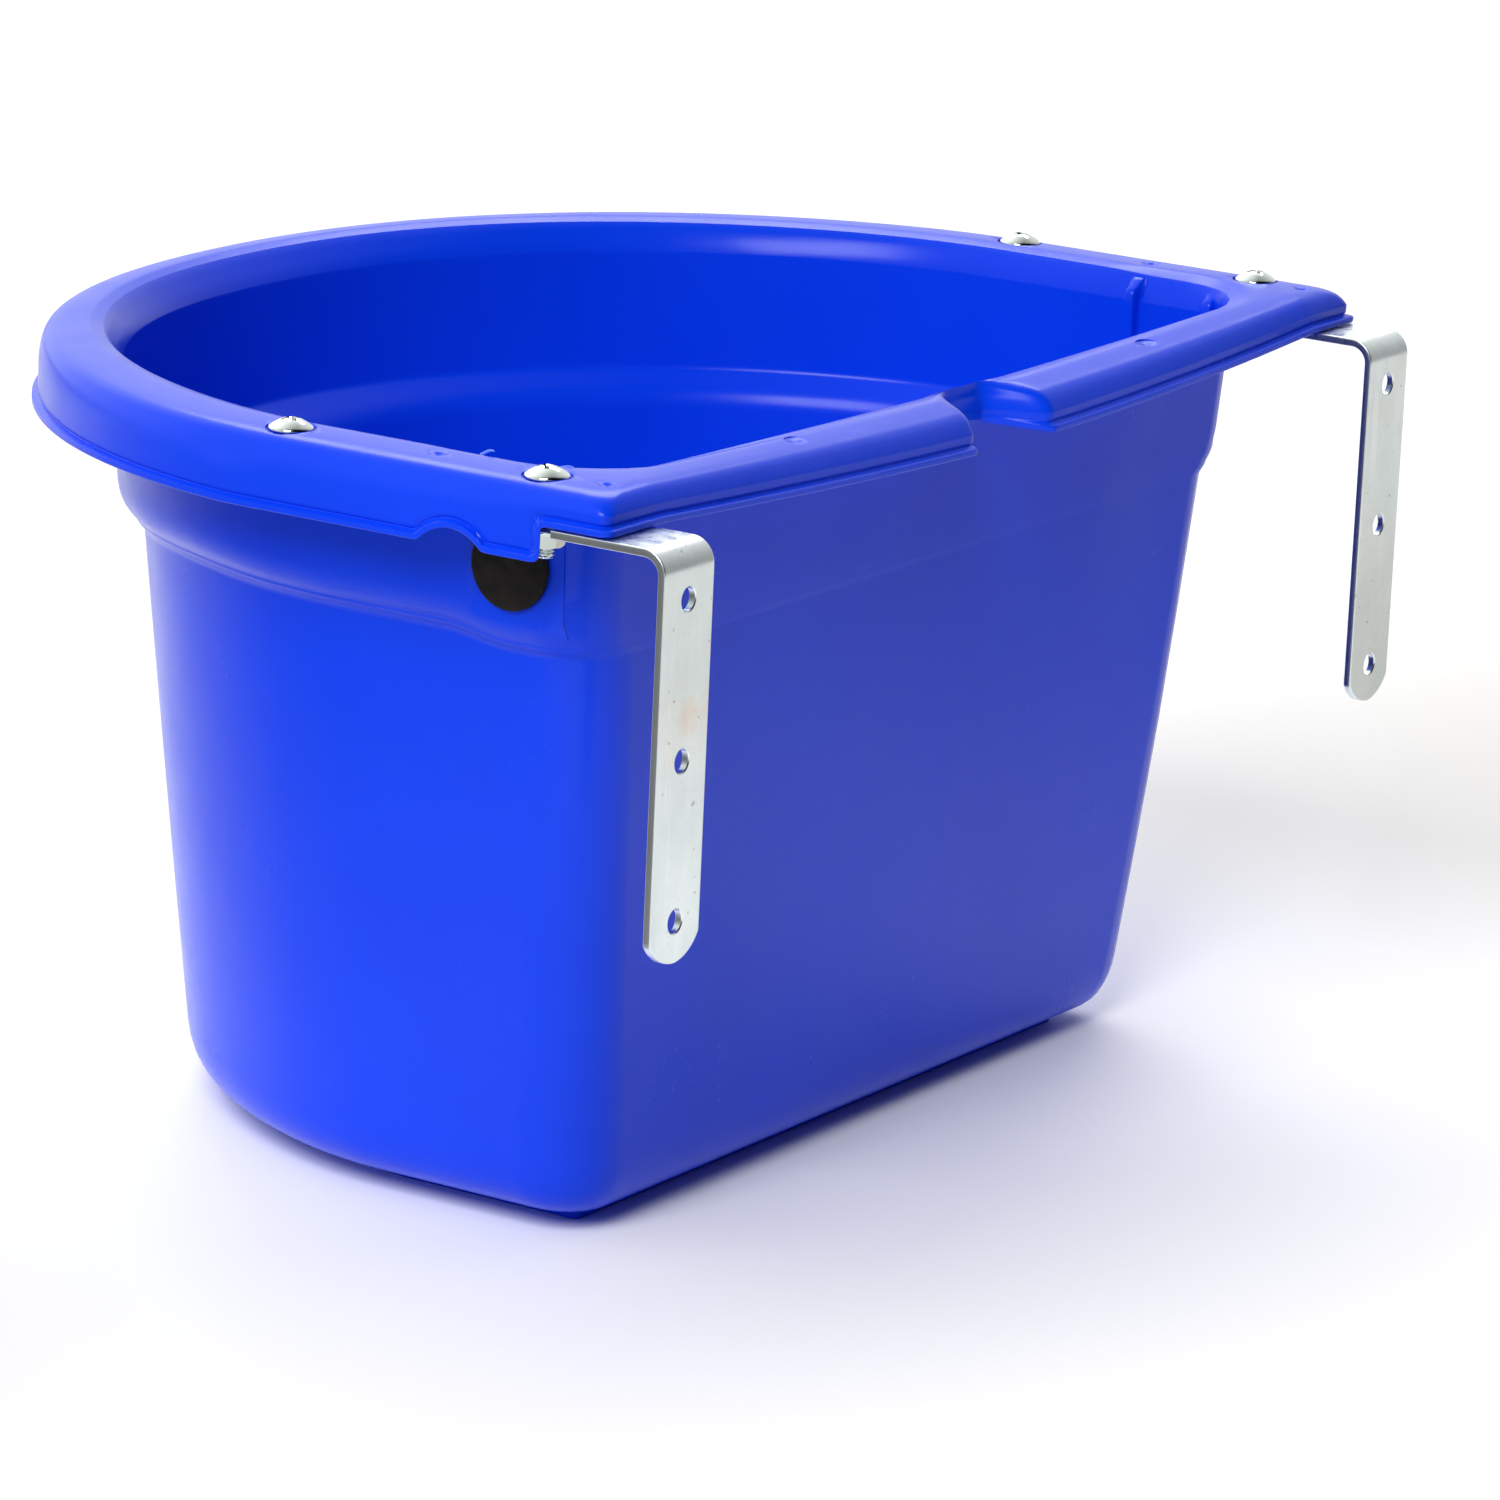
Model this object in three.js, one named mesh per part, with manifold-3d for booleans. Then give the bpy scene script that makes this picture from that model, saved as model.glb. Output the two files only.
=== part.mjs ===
// D-shaped feed bucket that hangs on a stable board: a moulded plastic tub with a channel rim,
// two flat-bar hanging brackets screwed up under the rim, and a rubber plug in the side hole.
// Millimetres, +Z up. +X is the plug side, +Y the flat back with the brackets, -Y the round front.
// The origin is under the middle of the whole object, on the floor that the foot stands on.
import * as THREE from 'three';
import { mergeVertices } from 'three/addons/utils/BufferGeometryUtils.js';
import Module from 'manifold-3d';

const wasm = await Module();
wasm.setup();

// ---------- driving dimensions ----------
const RIM_Z = 240.8;              // flat top of the rim above the floor
const DEPTH = 325.8;              // front bead to the outer face of the bracket legs
const FRONT_REACH = 218.5;        // front bead, measured forward from the widest line
const WIDEST_Y = FRONT_REACH - DEPTH / 2;
const WALL = 3;                   // moulded wall
const RIM_PLATE = 3.2;            // thickness of the rim's top plate
const SIDE_DROP = 22.3;           // skirt depth along the sides and the front
const BACK_DROP = 11.6;           // skirt depth across the back
const BEAD_HEIGHT = 3.2;
const CHANNEL_DROP = 4.4;         // where the skirt's inner face meets the rim's underside
// The skirt in plan: its bead, its outer face and its inner face, which bounds the rim channel.
const BEAD = { side: 216, back: 88, nose: FRONT_REACH, corner: 5 };
const SKIRT = { side: 214.2, back: 86.2, nose: 216.7, corner: 6 };
const CHANNEL = { side: 211.5, back: 83.5, nose: 214, corner: 5 };
const STEP_Y = 67.5;              // the skirt is shallower behind this line, where the bar comes out
const BACK_SAG = 5.5;             // the long back rim bows down this much in its middle
const SAG_HALF = 188;
const SAG_START = 62;             // the bow grows from this line out to the bead
const SCALLOP_HALF = 25;
const SCALLOP_WALL = 65;          // the back rim is squeezed up against this line in the scallop
const SCALLOP_CHANNEL = 0.1;      // share of the channel's width that is left there
const SCALLOP_SKIRT = 0.7;        // share of the skirt's thickness that is left there
const FRONT_POWER = 2.15;         // the front outline is a superellipse of this power
const KINK = 3.5;                 // the front curve's half-axis exceeds the straight sides by this

const SCREW_X = 201.9;
const SCREW_YS = { rear: WIDEST_Y + 57.3, front: WIDEST_Y - 31.9 };
const SCREW_R = 3;
const SCREW_HOLE_R = 3.3;
const HEAD_R = 6.4;
const HEAD_RISE = 1.8;            // head top above the rim
const SEAT_R = 7.1;
const SEAT_DEPTH = 1.2;
const SCREW_TAIL = 8;             // thread standing out below the bracket arm
const BOSS_R = 6.3;

const BAR = 2.5;
const BAR_WIDTH = 25;
const LEG_X = 203.4;              // middle of the bracket leg
const ARM_TOP_Z = RIM_Z - 12;
const LEG_FACE_Y = DEPTH / 2;
const LEG_TIP_Z = RIM_Z - 132.5;
const ARM_FRONT_Y = WIDEST_Y - 44;
const BEND_R = 7.5;               // outer radius of the bend
const RELIEF_WIDTH = 4.8;         // the arm is this much narrower where it runs in the rim channel
const RELIEF_Y = WIDEST_Y + 68.6;
const LEG_HOLE_R = 3.5;
const LEG_HOLE_TOP_Z = RIM_Z - 27.4;
const LEG_HOLE_PITCH = 46.5;
const LEG_HOLES = 3;
const TIP_ARC_R = 14.5;
const ARM_HOLE_R = 3.4;

const NUT_FLANGE_R = 7.1;
const NUT_FLANGE = 1.3;
const NUT_HEX_R = 5.75;           // across the corners, 10 mm across the flats
const NUT_HEIGHT = 6;

const PLUG_Y = WIDEST_Y + 36.2;
const PLUG_Z = RIM_Z - 32.3;
const POCKET_DROP = 30;           // depth at which the sloping wall and the pocket are lined up
const PLUG_HEAD_R = 13;
const PLUG_HEAD = 2.4;
const PLUG_STEM_R = 10.2;
const PLUG_STEM = 9;
const PLUG_HOLE_R = 10.5;
const POCKET_HALF = 14.5;
const POCKET_DEPTH = 1.5;
const POCKET_BELOW = 20.5;        // from the plug's middle down to the pocket's end
const POCKET_ABOVE = 19;
const POCKET_CORNER_R = 6;
const NOTCH_Y = WIDEST_Y + 35.3;
const NOTCH_R = 14.2;
const NOTCH_RISE = 6.8;           // the notch's top above the skirt's lower edge
const RIB_WIDTH = 4;
const RIB_RISE = 3.5;
const RIB_SPACING = 28.6;
const RIB_FOOT = 57;              // the ribs die into the wall's step at this depth below the rim
const FIT_GAP = 0.3;              // clearance between pieces that touch

// ---------- solids: three.js geometry in and out of the boolean library ----------
function solid(geometry) {
  const bare = geometry.clone();
  bare.deleteAttribute('normal');
  bare.deleteAttribute('uv');
  const merged = mergeVertices(bare, 1e-4);
  const vertProperties = new Float32Array(merged.attributes.position.array);
  const triVerts = new Uint32Array(merged.index.array);
  return new wasm.Manifold(new wasm.Mesh({ numProp: 3, vertProperties, triVerts }));
}

function geometryOf(body) {
  const mesh = body.getMesh();
  const geometry = new THREE.BufferGeometry();
  geometry.setAttribute('position', new THREE.BufferAttribute(new Float32Array(mesh.vertProperties), 3));
  geometry.setIndex(new THREE.BufferAttribute(new Uint32Array(mesh.triVerts), 1));
  geometry.computeVertexNormals();
  return geometry;
}

function box(x0, x1, y0, y1, z0, z1) {
  const geometry = new THREE.BoxGeometry(x1 - x0, y1 - y0, z1 - z0);
  geometry.translate((x0 + x1) / 2, (y0 + y1) / 2, (z0 + z1) / 2);
  return solid(geometry);
}

function post(radius, x, y, z0, z1, sides = 24) {
  const geometry = new THREE.CylinderGeometry(radius, radius, z1 - z0, sides);
  geometry.rotateX(Math.PI / 2);
  geometry.translate(x, y, (z0 + z1) / 2);
  return solid(geometry);
}

function roundBarAlongX(radius, x0, x1, y, z, sides = 28) {
  const geometry = new THREE.CylinderGeometry(radius, radius, Math.abs(x1 - x0), sides);
  geometry.rotateZ(Math.PI / 2);
  geometry.translate((x0 + x1) / 2, y, z);
  return solid(geometry);
}

function roundBarAlongY(radius, x, y0, y1, z, sides = 20) {
  const geometry = new THREE.CylinderGeometry(radius, radius, y1 - y0, sides);
  geometry.translate(x, (y0 + y1) / 2, z);
  return solid(geometry);
}

// ---------- the D outline ----------
// One level is { side, back, corner, nose, kink }: the half-width of the straight sides, the reach of
// the flat back and of the nose from the widest line, and the radius of the two back corners.
const BACK_STOPS = [0, 0.035, 0.065, 0.085, 0.105, 0.13, 0.25, 0.4, 0.55, 0.7, 0.85];
const CORNER_STEPS = 5;
const SIDE_STOPS = [0.4, 0.7];
const FRONT_STEPS = 17;

function halfOutline(level) {
  const points = [];
  const flat = level.side - level.corner;
  for (const stop of BACK_STOPS) {
    points.push({ x: stop * flat, y: level.back, zone: 'back' });
  }
  for (let i = 0; i <= CORNER_STEPS; i++) {
    const angle = (i / CORNER_STEPS) * Math.PI / 2;
    const x = flat + level.corner * Math.sin(angle);
    const y = level.back - level.corner * (1 - Math.cos(angle));
    points.push({ x, y, zone: 'back' });
  }
  const halfAxis = level.side + level.kink;
  const start = Math.acos((level.side / halfAxis) ** (FRONT_POWER / 2));
  const kinkY = -level.nose * Math.sin(start) ** (2 / FRONT_POWER);
  const cornerY = level.back - level.corner;
  const stepY = Math.min(STEP_Y, cornerY - 1);
  points.push({ x: level.side, y: stepY, zone: 'back' });
  points.push({ x: level.side, y: stepY - 1, zone: 'side' });
  for (const stop of SIDE_STOPS) {
    points.push({ x: level.side, y: cornerY + (kinkY - cornerY) * stop, zone: 'side' });
  }
  for (let i = 0; i <= FRONT_STEPS; i++) {
    const angle = start + (i / FRONT_STEPS) * (Math.PI / 2 - start);
    const x = halfAxis * Math.max(Math.cos(angle), 0) ** (2 / FRONT_POWER);
    const y = -level.nose * Math.sin(angle) ** (2 / FRONT_POWER);
    points.push({ x: i === FRONT_STEPS ? 0 : x, y, zone: 'side' });
  }
  return points;
}

function outline(level) {
  const right = halfOutline(level);
  const left = right.slice(1, -1).reverse().map((p) => ({ x: -p.x, y: p.y, zone: p.zone }));
  return right.concat(left);
}

// The scallop in the back rim: 1 in its middle, 0 outside it, with S-shaped ends.
function scallop(x) {
  const t = THREE.MathUtils.clamp((SCALLOP_HALF - Math.abs(x)) / (SCALLOP_HALF * 0.5), 0, 1);
  return t * t * (3 - 2 * t);
}

// Where a point of the back rim goes in the middle of the scallop: the channel all but closes and the
// skirt keeps most of its thickness.
function squeezed(y) {
  const inChannel = Math.min(y, CHANNEL.back) - SCALLOP_WALL;
  const inSkirt = Math.max(y - CHANNEL.back, 0);
  return SCALLOP_WALL + inChannel * SCALLOP_CHANNEL + inSkirt * SCALLOP_SKIRT;
}

// The back rim's bow: nearly a third of it is reached just outside the wall, the rest at the bead.
function sag(x, y) {
  const outward = THREE.MathUtils.clamp((y - SAG_START) / (BEAD.back - SAG_START), 0, 1);
  const along = Math.max(0, 1 - Math.abs(x / SAG_HALF) ** 1.5);
  return BACK_SAG * along * (0.3 * Math.min(outward * 4, 1) + 0.7 * outward);
}

// A ring of points for one level. drop and backDrop are the depths below the rim's top.
function ring(level) {
  return outline(level).map((p) => {
    const isBack = p.zone === 'back';
    let y = p.y;
    let drop = isBack ? level.backDrop ?? level.drop : level.drop;
    if (level.rim && p.y > SAG_START) {
      drop += sag(p.x, y);
    }
    if (p.y > SCALLOP_WALL) {
      y += (squeezed(y) - y) * scallop(p.x);
    }
    return new THREE.Vector3(p.x, WIDEST_Y + y, RIM_Z - drop);
  });
}

function loft(rings) {
  const count = rings[0].length;
  const positions = [];
  const index = [];
  for (const points of rings) {
    for (const p of points) {
      positions.push(p.x, p.y, p.z);
    }
  }
  for (let row = 0; row + 1 < rings.length; row++) {
    for (let i = 0; i < count; i++) {
      const a = row * count + i;
      const b = row * count + (i + 1) % count;
      index.push(a, b, a + count, b, b + count, a + count);
    }
  }
  capRing(index, rings[0], 0, 1);
  capRing(index, rings.at(-1), (rings.length - 1) * count, -1);
  const geometry = new THREE.BufferGeometry();
  geometry.setAttribute('position', new THREE.Float32BufferAttribute(positions, 3));
  geometry.setIndex(index);
  return geometry;
}

// Flat cap over one ring, facing up (facing = 1) or down (facing = -1).
function capRing(index, points, first, facing) {
  const contour = points.map((p) => new THREE.Vector2(p.x, p.y));
  for (const face of THREE.ShapeUtils.triangulateShape(contour, [])) {
    const winding = THREE.ShapeUtils.area(face.map((i) => contour[i]));
    const [a, b, c] = face.map((i) => i + first);
    if (winding * facing > 0) {
      index.push(a, b, c);
    } else {
      index.push(a, c, b);
    }
  }
}

// ---------- tub ----------
// Outer face of the wall, from under the rim to the foot. Columns: drop, side, back, nose, corner.
const OUTER_WALL = [
  { drop: 12, side: 188.6, back: 64.2, nose: 196.5, corner: 17 },
  { drop: 49, side: 187.4, back: 61.8, nose: 193.8, corner: 18 },
  { drop: 55, side: 185.0, back: 61.4, nose: 191.0, corner: 19 },
  { drop: 60, side: 181.0, back: 61.0, nose: 186.2, corner: 20 },
  { drop: 65, side: 179.9, back: 60.7, nose: 184.6, corner: 20 },
  { drop: 140, side: 171.8, back: 56.7, nose: 177.3, corner: 20 },
  { drop: 216, side: 163.2, back: 51.0, nose: 169.0, corner: 22 },
  { drop: 223, side: 161.2, back: 49.2, nose: 166.2, corner: 22 },
  { drop: 229.6, side: 156.6, back: 45.2, nose: 160.3, corner: 22 },
  { drop: 234, side: 150.6, back: 39.7, nose: 153, corner: 20 },
  { drop: 235.8, side: 144.0, back: 36.5, nose: 145.5, corner: 12 },
];
const FOOT = { side: 137.5, back: 34.4, nose: 139.5, corner: 3 };
const FOOT_RING = 5;
const FOOT_HOLLOW = 5;
const FLOOR_RISE = 1.5;           // the inner corners stand this far above the outer ones, low down
const BAND_RISE = 0.5;            // and this far in the upper band
const BAND_DROP = 60;             // depth of the upper band

function wallLevel(entry, inset, rise) {
  return {
    drop: entry.drop - rise,
    side: entry.side - inset,
    back: entry.back - inset,
    nose: entry.nose - inset,
    corner: Math.max(entry.corner - inset, 2),
    kink: KINK,
  };
}

function innerWall() {
  return OUTER_WALL.slice(0, -1).reverse().map((entry) => {
    return wallLevel(entry, WALL, entry.drop > BAND_DROP ? FLOOR_RISE : BAND_RISE);
  });
}

function rimLevel(plan, drop, backDrop) {
  return { ...plan, drop, backDrop, kink: KINK, rim: true };
}

// Rim section: from the inner wall over the top, down the skirt, round its bead and up the channel.
function rimLevels() {
  const beadTop = SIDE_DROP - BEAD_HEIGHT;
  const backBeadTop = BACK_DROP - BEAD_HEIGHT;
  const beadEase = 0.4;
  return [
    rimLevel({ side: 186.6, back: 63.2, nose: 199, corner: 24 }, 4.5, 6.5),
    rimLevel({ side: 189.4, back: 66.8, nose: 201.5, corner: 28 }, 1.3, 2.2),
    rimLevel({ side: 194.2, back: 72.2, nose: 205.5, corner: 31 }, 0, 0),
    rimLevel({ side: 210, back: 81.6, nose: 213.2, corner: 9 }, 0, 0),
    rimLevel({ side: 213, back: 85, nose: 215.8, corner: 7 }, 1.3, 1.4),
    rimLevel(SKIRT, 4.2, 4.6),
    rimLevel(SKIRT, beadTop, backBeadTop),
    rimLevel(BEAD, beadTop + beadEase, backBeadTop + beadEase),
    rimLevel(BEAD, SIDE_DROP, BACK_DROP),
    rimLevel(CHANNEL, SIDE_DROP, BACK_DROP),
    rimLevel(CHANNEL, CHANNEL_DROP, CHANNEL_DROP),
    rimLevel({ side: 210, back: 82, nose: 212.5, corner: 5 }, RIM_PLATE, RIM_PLATE),
    rimLevel({ side: 196.4, back: 74.5, nose: 207.5, corner: 26 }, RIM_PLATE, RIM_PLATE),
    rimLevel({ side: 191, back: 68, nose: 202, corner: 22 }, 5.4, 6.4),
  ];
}

function tubShell() {
  const inner = innerWall().map(ring);
  const rim = rimLevels().map(ring);
  const outer = OUTER_WALL.map((entry) => ring(wallLevel(entry, 0, 0)));
  const lastDrop = OUTER_WALL.at(-1).drop;
  const foot = [
    ring({ ...FOOT, drop: lastDrop, kink: KINK }),
    ring({ ...FOOT, drop: RIM_Z, kink: KINK }),
  ];
  return solid(loft([...inner, ...rim, ...outer, ...foot]));
}

function footHollow() {
  const level = wallLevel({ ...FOOT, drop: RIM_Z }, FOOT_RING, 0);
  return solid(loft([ring({ ...level, drop: RIM_Z - FOOT_HOLLOW }), ring({ ...level, drop: RIM_Z + 1 })]));
}

// Half-width of the straight side wall's outer face in the upper band.
function wallX(drop) {
  const [upper, lower] = OUTER_WALL;
  return THREE.MathUtils.mapLinear(drop, upper.drop, lower.drop, upper.side, lower.side);
}

function tub() {
  let body = tubShell().subtract(footHollow());
  for (const sign of [1, -1]) {
    for (const y of Object.values(SCREW_YS)) {
      body = body.add(post(BOSS_R, sign * SCREW_X, y, ARM_TOP_Z + FIT_GAP, RIM_Z - 1));
    }
    body = body.add(ribs(sign)).subtract(pocket(sign)).subtract(notch(sign));
    for (const y of Object.values(SCREW_YS)) {
      body = body.subtract(post(SCREW_HOLE_R, sign * SCREW_X, y, ARM_TOP_Z - 2, RIM_Z + 5));
      body = body.subtract(post(SEAT_R, sign * SCREW_X, y, RIM_Z - SEAT_DEPTH, RIM_Z + 5));
    }
  }
  const wallFace = wallX(POCKET_DROP);
  return body.subtract(roundBarAlongX(PLUG_HOLE_R, wallFace - 3 * WALL, wallFace + WALL, PLUG_Y, PLUG_Z));
}

// Two upright ribs on the inner face, either side of the plug's place. Their slanted tops run into
// the rim's rounding.
function ribs(sign) {
  const face = wallX(20) - WALL - RIB_RISE;
  const shape = new THREE.Shape();
  shape.moveTo(face, RIM_Z - RIB_FOOT);
  shape.lineTo(face + 0.6, RIM_Z - RIB_FOOT);
  shape.lineTo(face + RIB_RISE, RIM_Z - 48);
  shape.lineTo(face + 6.4, RIM_Z - 10);
  shape.lineTo(face + 6.4, RIM_Z - 2.8);
  shape.lineTo(face, RIM_Z - 6);
  shape.closePath();
  let pair = null;
  for (const offset of [-RIB_SPACING / 2, RIB_SPACING / 2]) {
    const geometry = new THREE.ExtrudeGeometry(shape, { depth: RIB_WIDTH, bevelEnabled: false });
    geometry.rotateX(Math.PI / 2);
    geometry.translate(0, PLUG_Y + offset + RIB_WIDTH / 2, 0);
    pair = pair ? pair.add(solid(geometry)) : solid(geometry);
  }
  return sign > 0 ? pair : pair.mirror([1, 0, 0]);
}

// Shallow flat pocket in the outer face, round the plug.
function pocket(sign) {
  const face = wallX(POCKET_DROP) - POCKET_DEPTH;
  const radius = POCKET_CORNER_R;
  const arcZ = radius - POCKET_BELOW;
  const shape = new THREE.Shape();
  shape.moveTo(-POCKET_HALF, POCKET_ABOVE);
  shape.lineTo(-POCKET_HALF, arcZ);
  shape.absarc(-POCKET_HALF + radius, arcZ, radius, Math.PI, 1.5 * Math.PI, false);
  shape.absarc(POCKET_HALF - radius, arcZ, radius, 1.5 * Math.PI, 2 * Math.PI, false);
  shape.lineTo(POCKET_HALF, POCKET_ABOVE);
  shape.closePath();
  const depth = 3 * WALL;
  const geometry = new THREE.ExtrudeGeometry(shape, { depth, bevelEnabled: false, curveSegments: 4 });
  geometry.rotateX(Math.PI / 2);
  geometry.rotateZ(Math.PI / 2);
  geometry.translate(sign > 0 ? face : -face - depth, PLUG_Y, PLUG_Z);
  return solid(geometry);
}

// Half-round finger notch in the skirt, beside the plug.
function notch(sign) {
  const inner = sign * (CHANNEL.side - 3.5);
  const outer = sign * (BEAD.side + 6);
  return roundBarAlongX(NOTCH_R, inner, outer, NOTCH_Y, RIM_Z - SIDE_DROP + NOTCH_RISE - NOTCH_R);
}

// ---------- brackets ----------
function bracket(sign) {
  const profile = new THREE.Shape();
  const armBottom = ARM_TOP_Z - BAR;
  const legInner = LEG_FACE_Y - BAR;
  const bendY = LEG_FACE_Y - BEND_R;
  const bendZ = ARM_TOP_Z - BEND_R;
  profile.moveTo(ARM_FRONT_Y, armBottom);
  profile.lineTo(bendY, armBottom);
  profile.absarc(bendY, bendZ, BEND_R - BAR, Math.PI / 2, 0, true);
  profile.lineTo(legInner, LEG_TIP_Z);
  profile.lineTo(LEG_FACE_Y, LEG_TIP_Z);
  profile.lineTo(LEG_FACE_Y, bendZ);
  profile.absarc(bendY, bendZ, BEND_R, 0, Math.PI / 2, false);
  profile.lineTo(ARM_FRONT_Y, ARM_TOP_Z);
  profile.closePath();
  const settings = { depth: BAR_WIDTH, bevelEnabled: false, curveSegments: 8 };
  const strip = new THREE.ExtrudeGeometry(profile, settings);
  strip.rotateX(Math.PI / 2);
  strip.rotateZ(Math.PI / 2);
  strip.translate(LEG_X - BAR_WIDTH / 2, 0, 0);
  let bar = solid(strip);
  const outerEdge = LEG_X + BAR_WIDTH / 2;
  bar = bar.subtract(box(
    outerEdge - RELIEF_WIDTH, outerEdge + 2, ARM_FRONT_Y - 2, RELIEF_Y, armBottom - 2, ARM_TOP_Z + 2,
  ));
  for (const y of Object.values(SCREW_YS)) {
    bar = bar.subtract(post(ARM_HOLE_R, SCREW_X, y, armBottom - 2, ARM_TOP_Z + 2));
  }
  for (let i = 0; i < LEG_HOLES; i++) {
    const z = LEG_HOLE_TOP_Z - i * LEG_HOLE_PITCH;
    bar = bar.subtract(roundBarAlongY(LEG_HOLE_R, LEG_X, legInner - 2, LEG_FACE_Y + 2, z));
  }
  bar = bar.subtract(tipWaste());
  return sign > 0 ? bar : bar.mirror([1, 0, 0]);
}

// What the shallow arc at the leg's end trims off the square bar.
function tipWaste() {
  const shape = new THREE.Shape();
  const half = BAR_WIDTH / 2;
  const angle = Math.asin(half / TIP_ARC_R);
  const centreZ = LEG_TIP_Z + TIP_ARC_R;
  const shoulderZ = centreZ - TIP_ARC_R * Math.cos(angle);
  shape.moveTo(half + 1, LEG_TIP_Z - 1);
  shape.lineTo(half + 1, shoulderZ);
  shape.lineTo(half, shoulderZ);
  shape.absarc(0, centreZ, TIP_ARC_R, angle - Math.PI / 2, -angle - Math.PI / 2, true);
  shape.lineTo(-half - 1, shoulderZ);
  shape.lineTo(-half - 1, LEG_TIP_Z - 1);
  shape.closePath();
  const settings = { depth: BAR + 4, bevelEnabled: false, curveSegments: 12 };
  const geometry = new THREE.ExtrudeGeometry(shape, settings);
  geometry.rotateX(Math.PI / 2);
  geometry.translate(LEG_X, LEG_FACE_Y + 2, 0);
  return solid(geometry);
}

// ---------- fasteners and plug: turned profiles ----------
function latheSolid(points, sides) {
  const profile = points.map(([radius, z]) => new THREE.Vector2(radius, z));
  const geometry = new THREE.LatheGeometry(profile, sides);
  geometry.rotateX(Math.PI / 2);
  return solid(geometry);
}

function screw() {
  const headBase = SEAT_DEPTH - FIT_GAP;
  const tail = RIM_Z - ARM_TOP_Z + BAR + SCREW_TAIL;
  return latheSolid([
    [0, -tail],
    [SCREW_R - 0.7, -tail],
    [SCREW_R, -tail + 0.7],
    [SCREW_R, -headBase],
    [HEAD_R, -headBase],
    [HEAD_R, 0.1],
    [HEAD_R * 0.84, HEAD_RISE * 0.5],
    [HEAD_R * 0.5, HEAD_RISE * 0.88],
    [0, HEAD_RISE],
  ], 24);
}

function nut() {
  const flange = latheSolid([
    [0, -NUT_FLANGE],
    [NUT_FLANGE_R - 0.8, -NUT_FLANGE],
    [NUT_FLANGE_R, -NUT_FLANGE * 0.5],
    [NUT_FLANGE_R, 0],
    [0, 0],
  ], 24);
  const hex = latheSolid([
    [0, -NUT_HEIGHT],
    [NUT_HEX_R - 0.5, -NUT_HEIGHT],
    [NUT_HEX_R, -NUT_HEIGHT + 0.5],
    [NUT_HEX_R, -NUT_FLANGE * 0.5],
    [0, -NUT_FLANGE * 0.5],
  ], 6);
  return flange.add(hex).subtract(post(SCREW_R + FIT_GAP, 0, 0, -NUT_HEIGHT - 1, 1));
}

// Plug along +Z before it is turned: the head's outer face up, the hollow stem down.
function plug() {
  const stemEnd = -PLUG_HEAD - PLUG_STEM;
  return latheSolid([
    [0, -PLUG_HEAD],
    [PLUG_STEM_R - 2.6, -PLUG_HEAD],
    [PLUG_STEM_R - 2.9, stemEnd],
    [PLUG_STEM_R - 1, stemEnd],
    [PLUG_STEM_R - 0.3, stemEnd + 1],
    [PLUG_STEM_R, -PLUG_HEAD],
    [PLUG_HEAD_R, -PLUG_HEAD],
    [PLUG_HEAD_R, -0.6],
    [PLUG_HEAD_R - 0.8, 0],
    [0, 0],
  ], 36);
}

// ---------- assembly ----------
const BLUE = { color: 0x0a3cf5, roughness: 0.35, metalness: 0 };
const ZINC = { color: 0xc8d2d6, roughness: 0.3, metalness: 1 };
const BRIGHT_ZINC = { color: 0xd8dedf, roughness: 0.2, metalness: 1 };
const BLACK_RUBBER = { color: 0x211d1a, roughness: 0.85, metalness: 0 };

const group = new THREE.Group();

function place(name, body, finish) {
  const mesh = new THREE.Mesh(geometryOf(body), new THREE.MeshStandardMaterial(finish));
  mesh.name = name;
  group.add(mesh);
  return mesh;
}

place('tub', tub(), BLUE);
for (const [side, sign] of [['right', 1], ['left', -1]]) {
  place(`${side}_bracket`, bracket(sign), ZINC);
  for (const [end, y] of Object.entries(SCREW_YS)) {
    place(`${side}_${end}_screw`, screw(), BRIGHT_ZINC).position.set(sign * SCREW_X, y, RIM_Z);
    const nutZ = ARM_TOP_Z - BAR - FIT_GAP;
    place(`${side}_${end}_nut`, nut(), BRIGHT_ZINC).position.set(sign * SCREW_X, y, nutZ);
  }
}
const plugMesh = place('hole_plug', plug(), BLACK_RUBBER);
plugMesh.rotation.y = Math.PI / 2;
plugMesh.position.set(wallX(POCKET_DROP) - POCKET_DEPTH + FIT_GAP + PLUG_HEAD, PLUG_Y, PLUG_Z);

export default group;
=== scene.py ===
"""Feed bucket: a moulded D-shaped tub with a channel rim, two zinc-plated hanging brackets and a plug.

Plan coordinates are millimetres: x across, y from the widest line towards the flat back, and drop,
the depth below the rim's top. They become metres of the part's frame in to_frame().
"""

import math
import random
from collections import namedtuple

import bmesh
import bpy
import numpy as np
from mathutils import Matrix, Vector


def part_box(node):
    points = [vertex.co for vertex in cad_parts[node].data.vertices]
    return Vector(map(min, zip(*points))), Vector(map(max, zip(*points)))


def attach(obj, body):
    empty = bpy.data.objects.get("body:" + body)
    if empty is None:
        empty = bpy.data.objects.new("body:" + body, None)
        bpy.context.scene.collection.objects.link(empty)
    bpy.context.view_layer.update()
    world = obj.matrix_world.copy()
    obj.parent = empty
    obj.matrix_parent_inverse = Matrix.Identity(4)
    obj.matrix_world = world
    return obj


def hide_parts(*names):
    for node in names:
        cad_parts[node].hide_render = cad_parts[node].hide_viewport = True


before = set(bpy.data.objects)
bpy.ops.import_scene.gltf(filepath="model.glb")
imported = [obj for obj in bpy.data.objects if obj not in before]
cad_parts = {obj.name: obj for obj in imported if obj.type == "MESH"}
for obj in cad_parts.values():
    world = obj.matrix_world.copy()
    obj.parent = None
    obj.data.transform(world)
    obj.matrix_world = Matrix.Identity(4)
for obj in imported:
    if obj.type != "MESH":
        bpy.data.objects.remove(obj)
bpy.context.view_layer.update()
MM = 0.001


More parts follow.
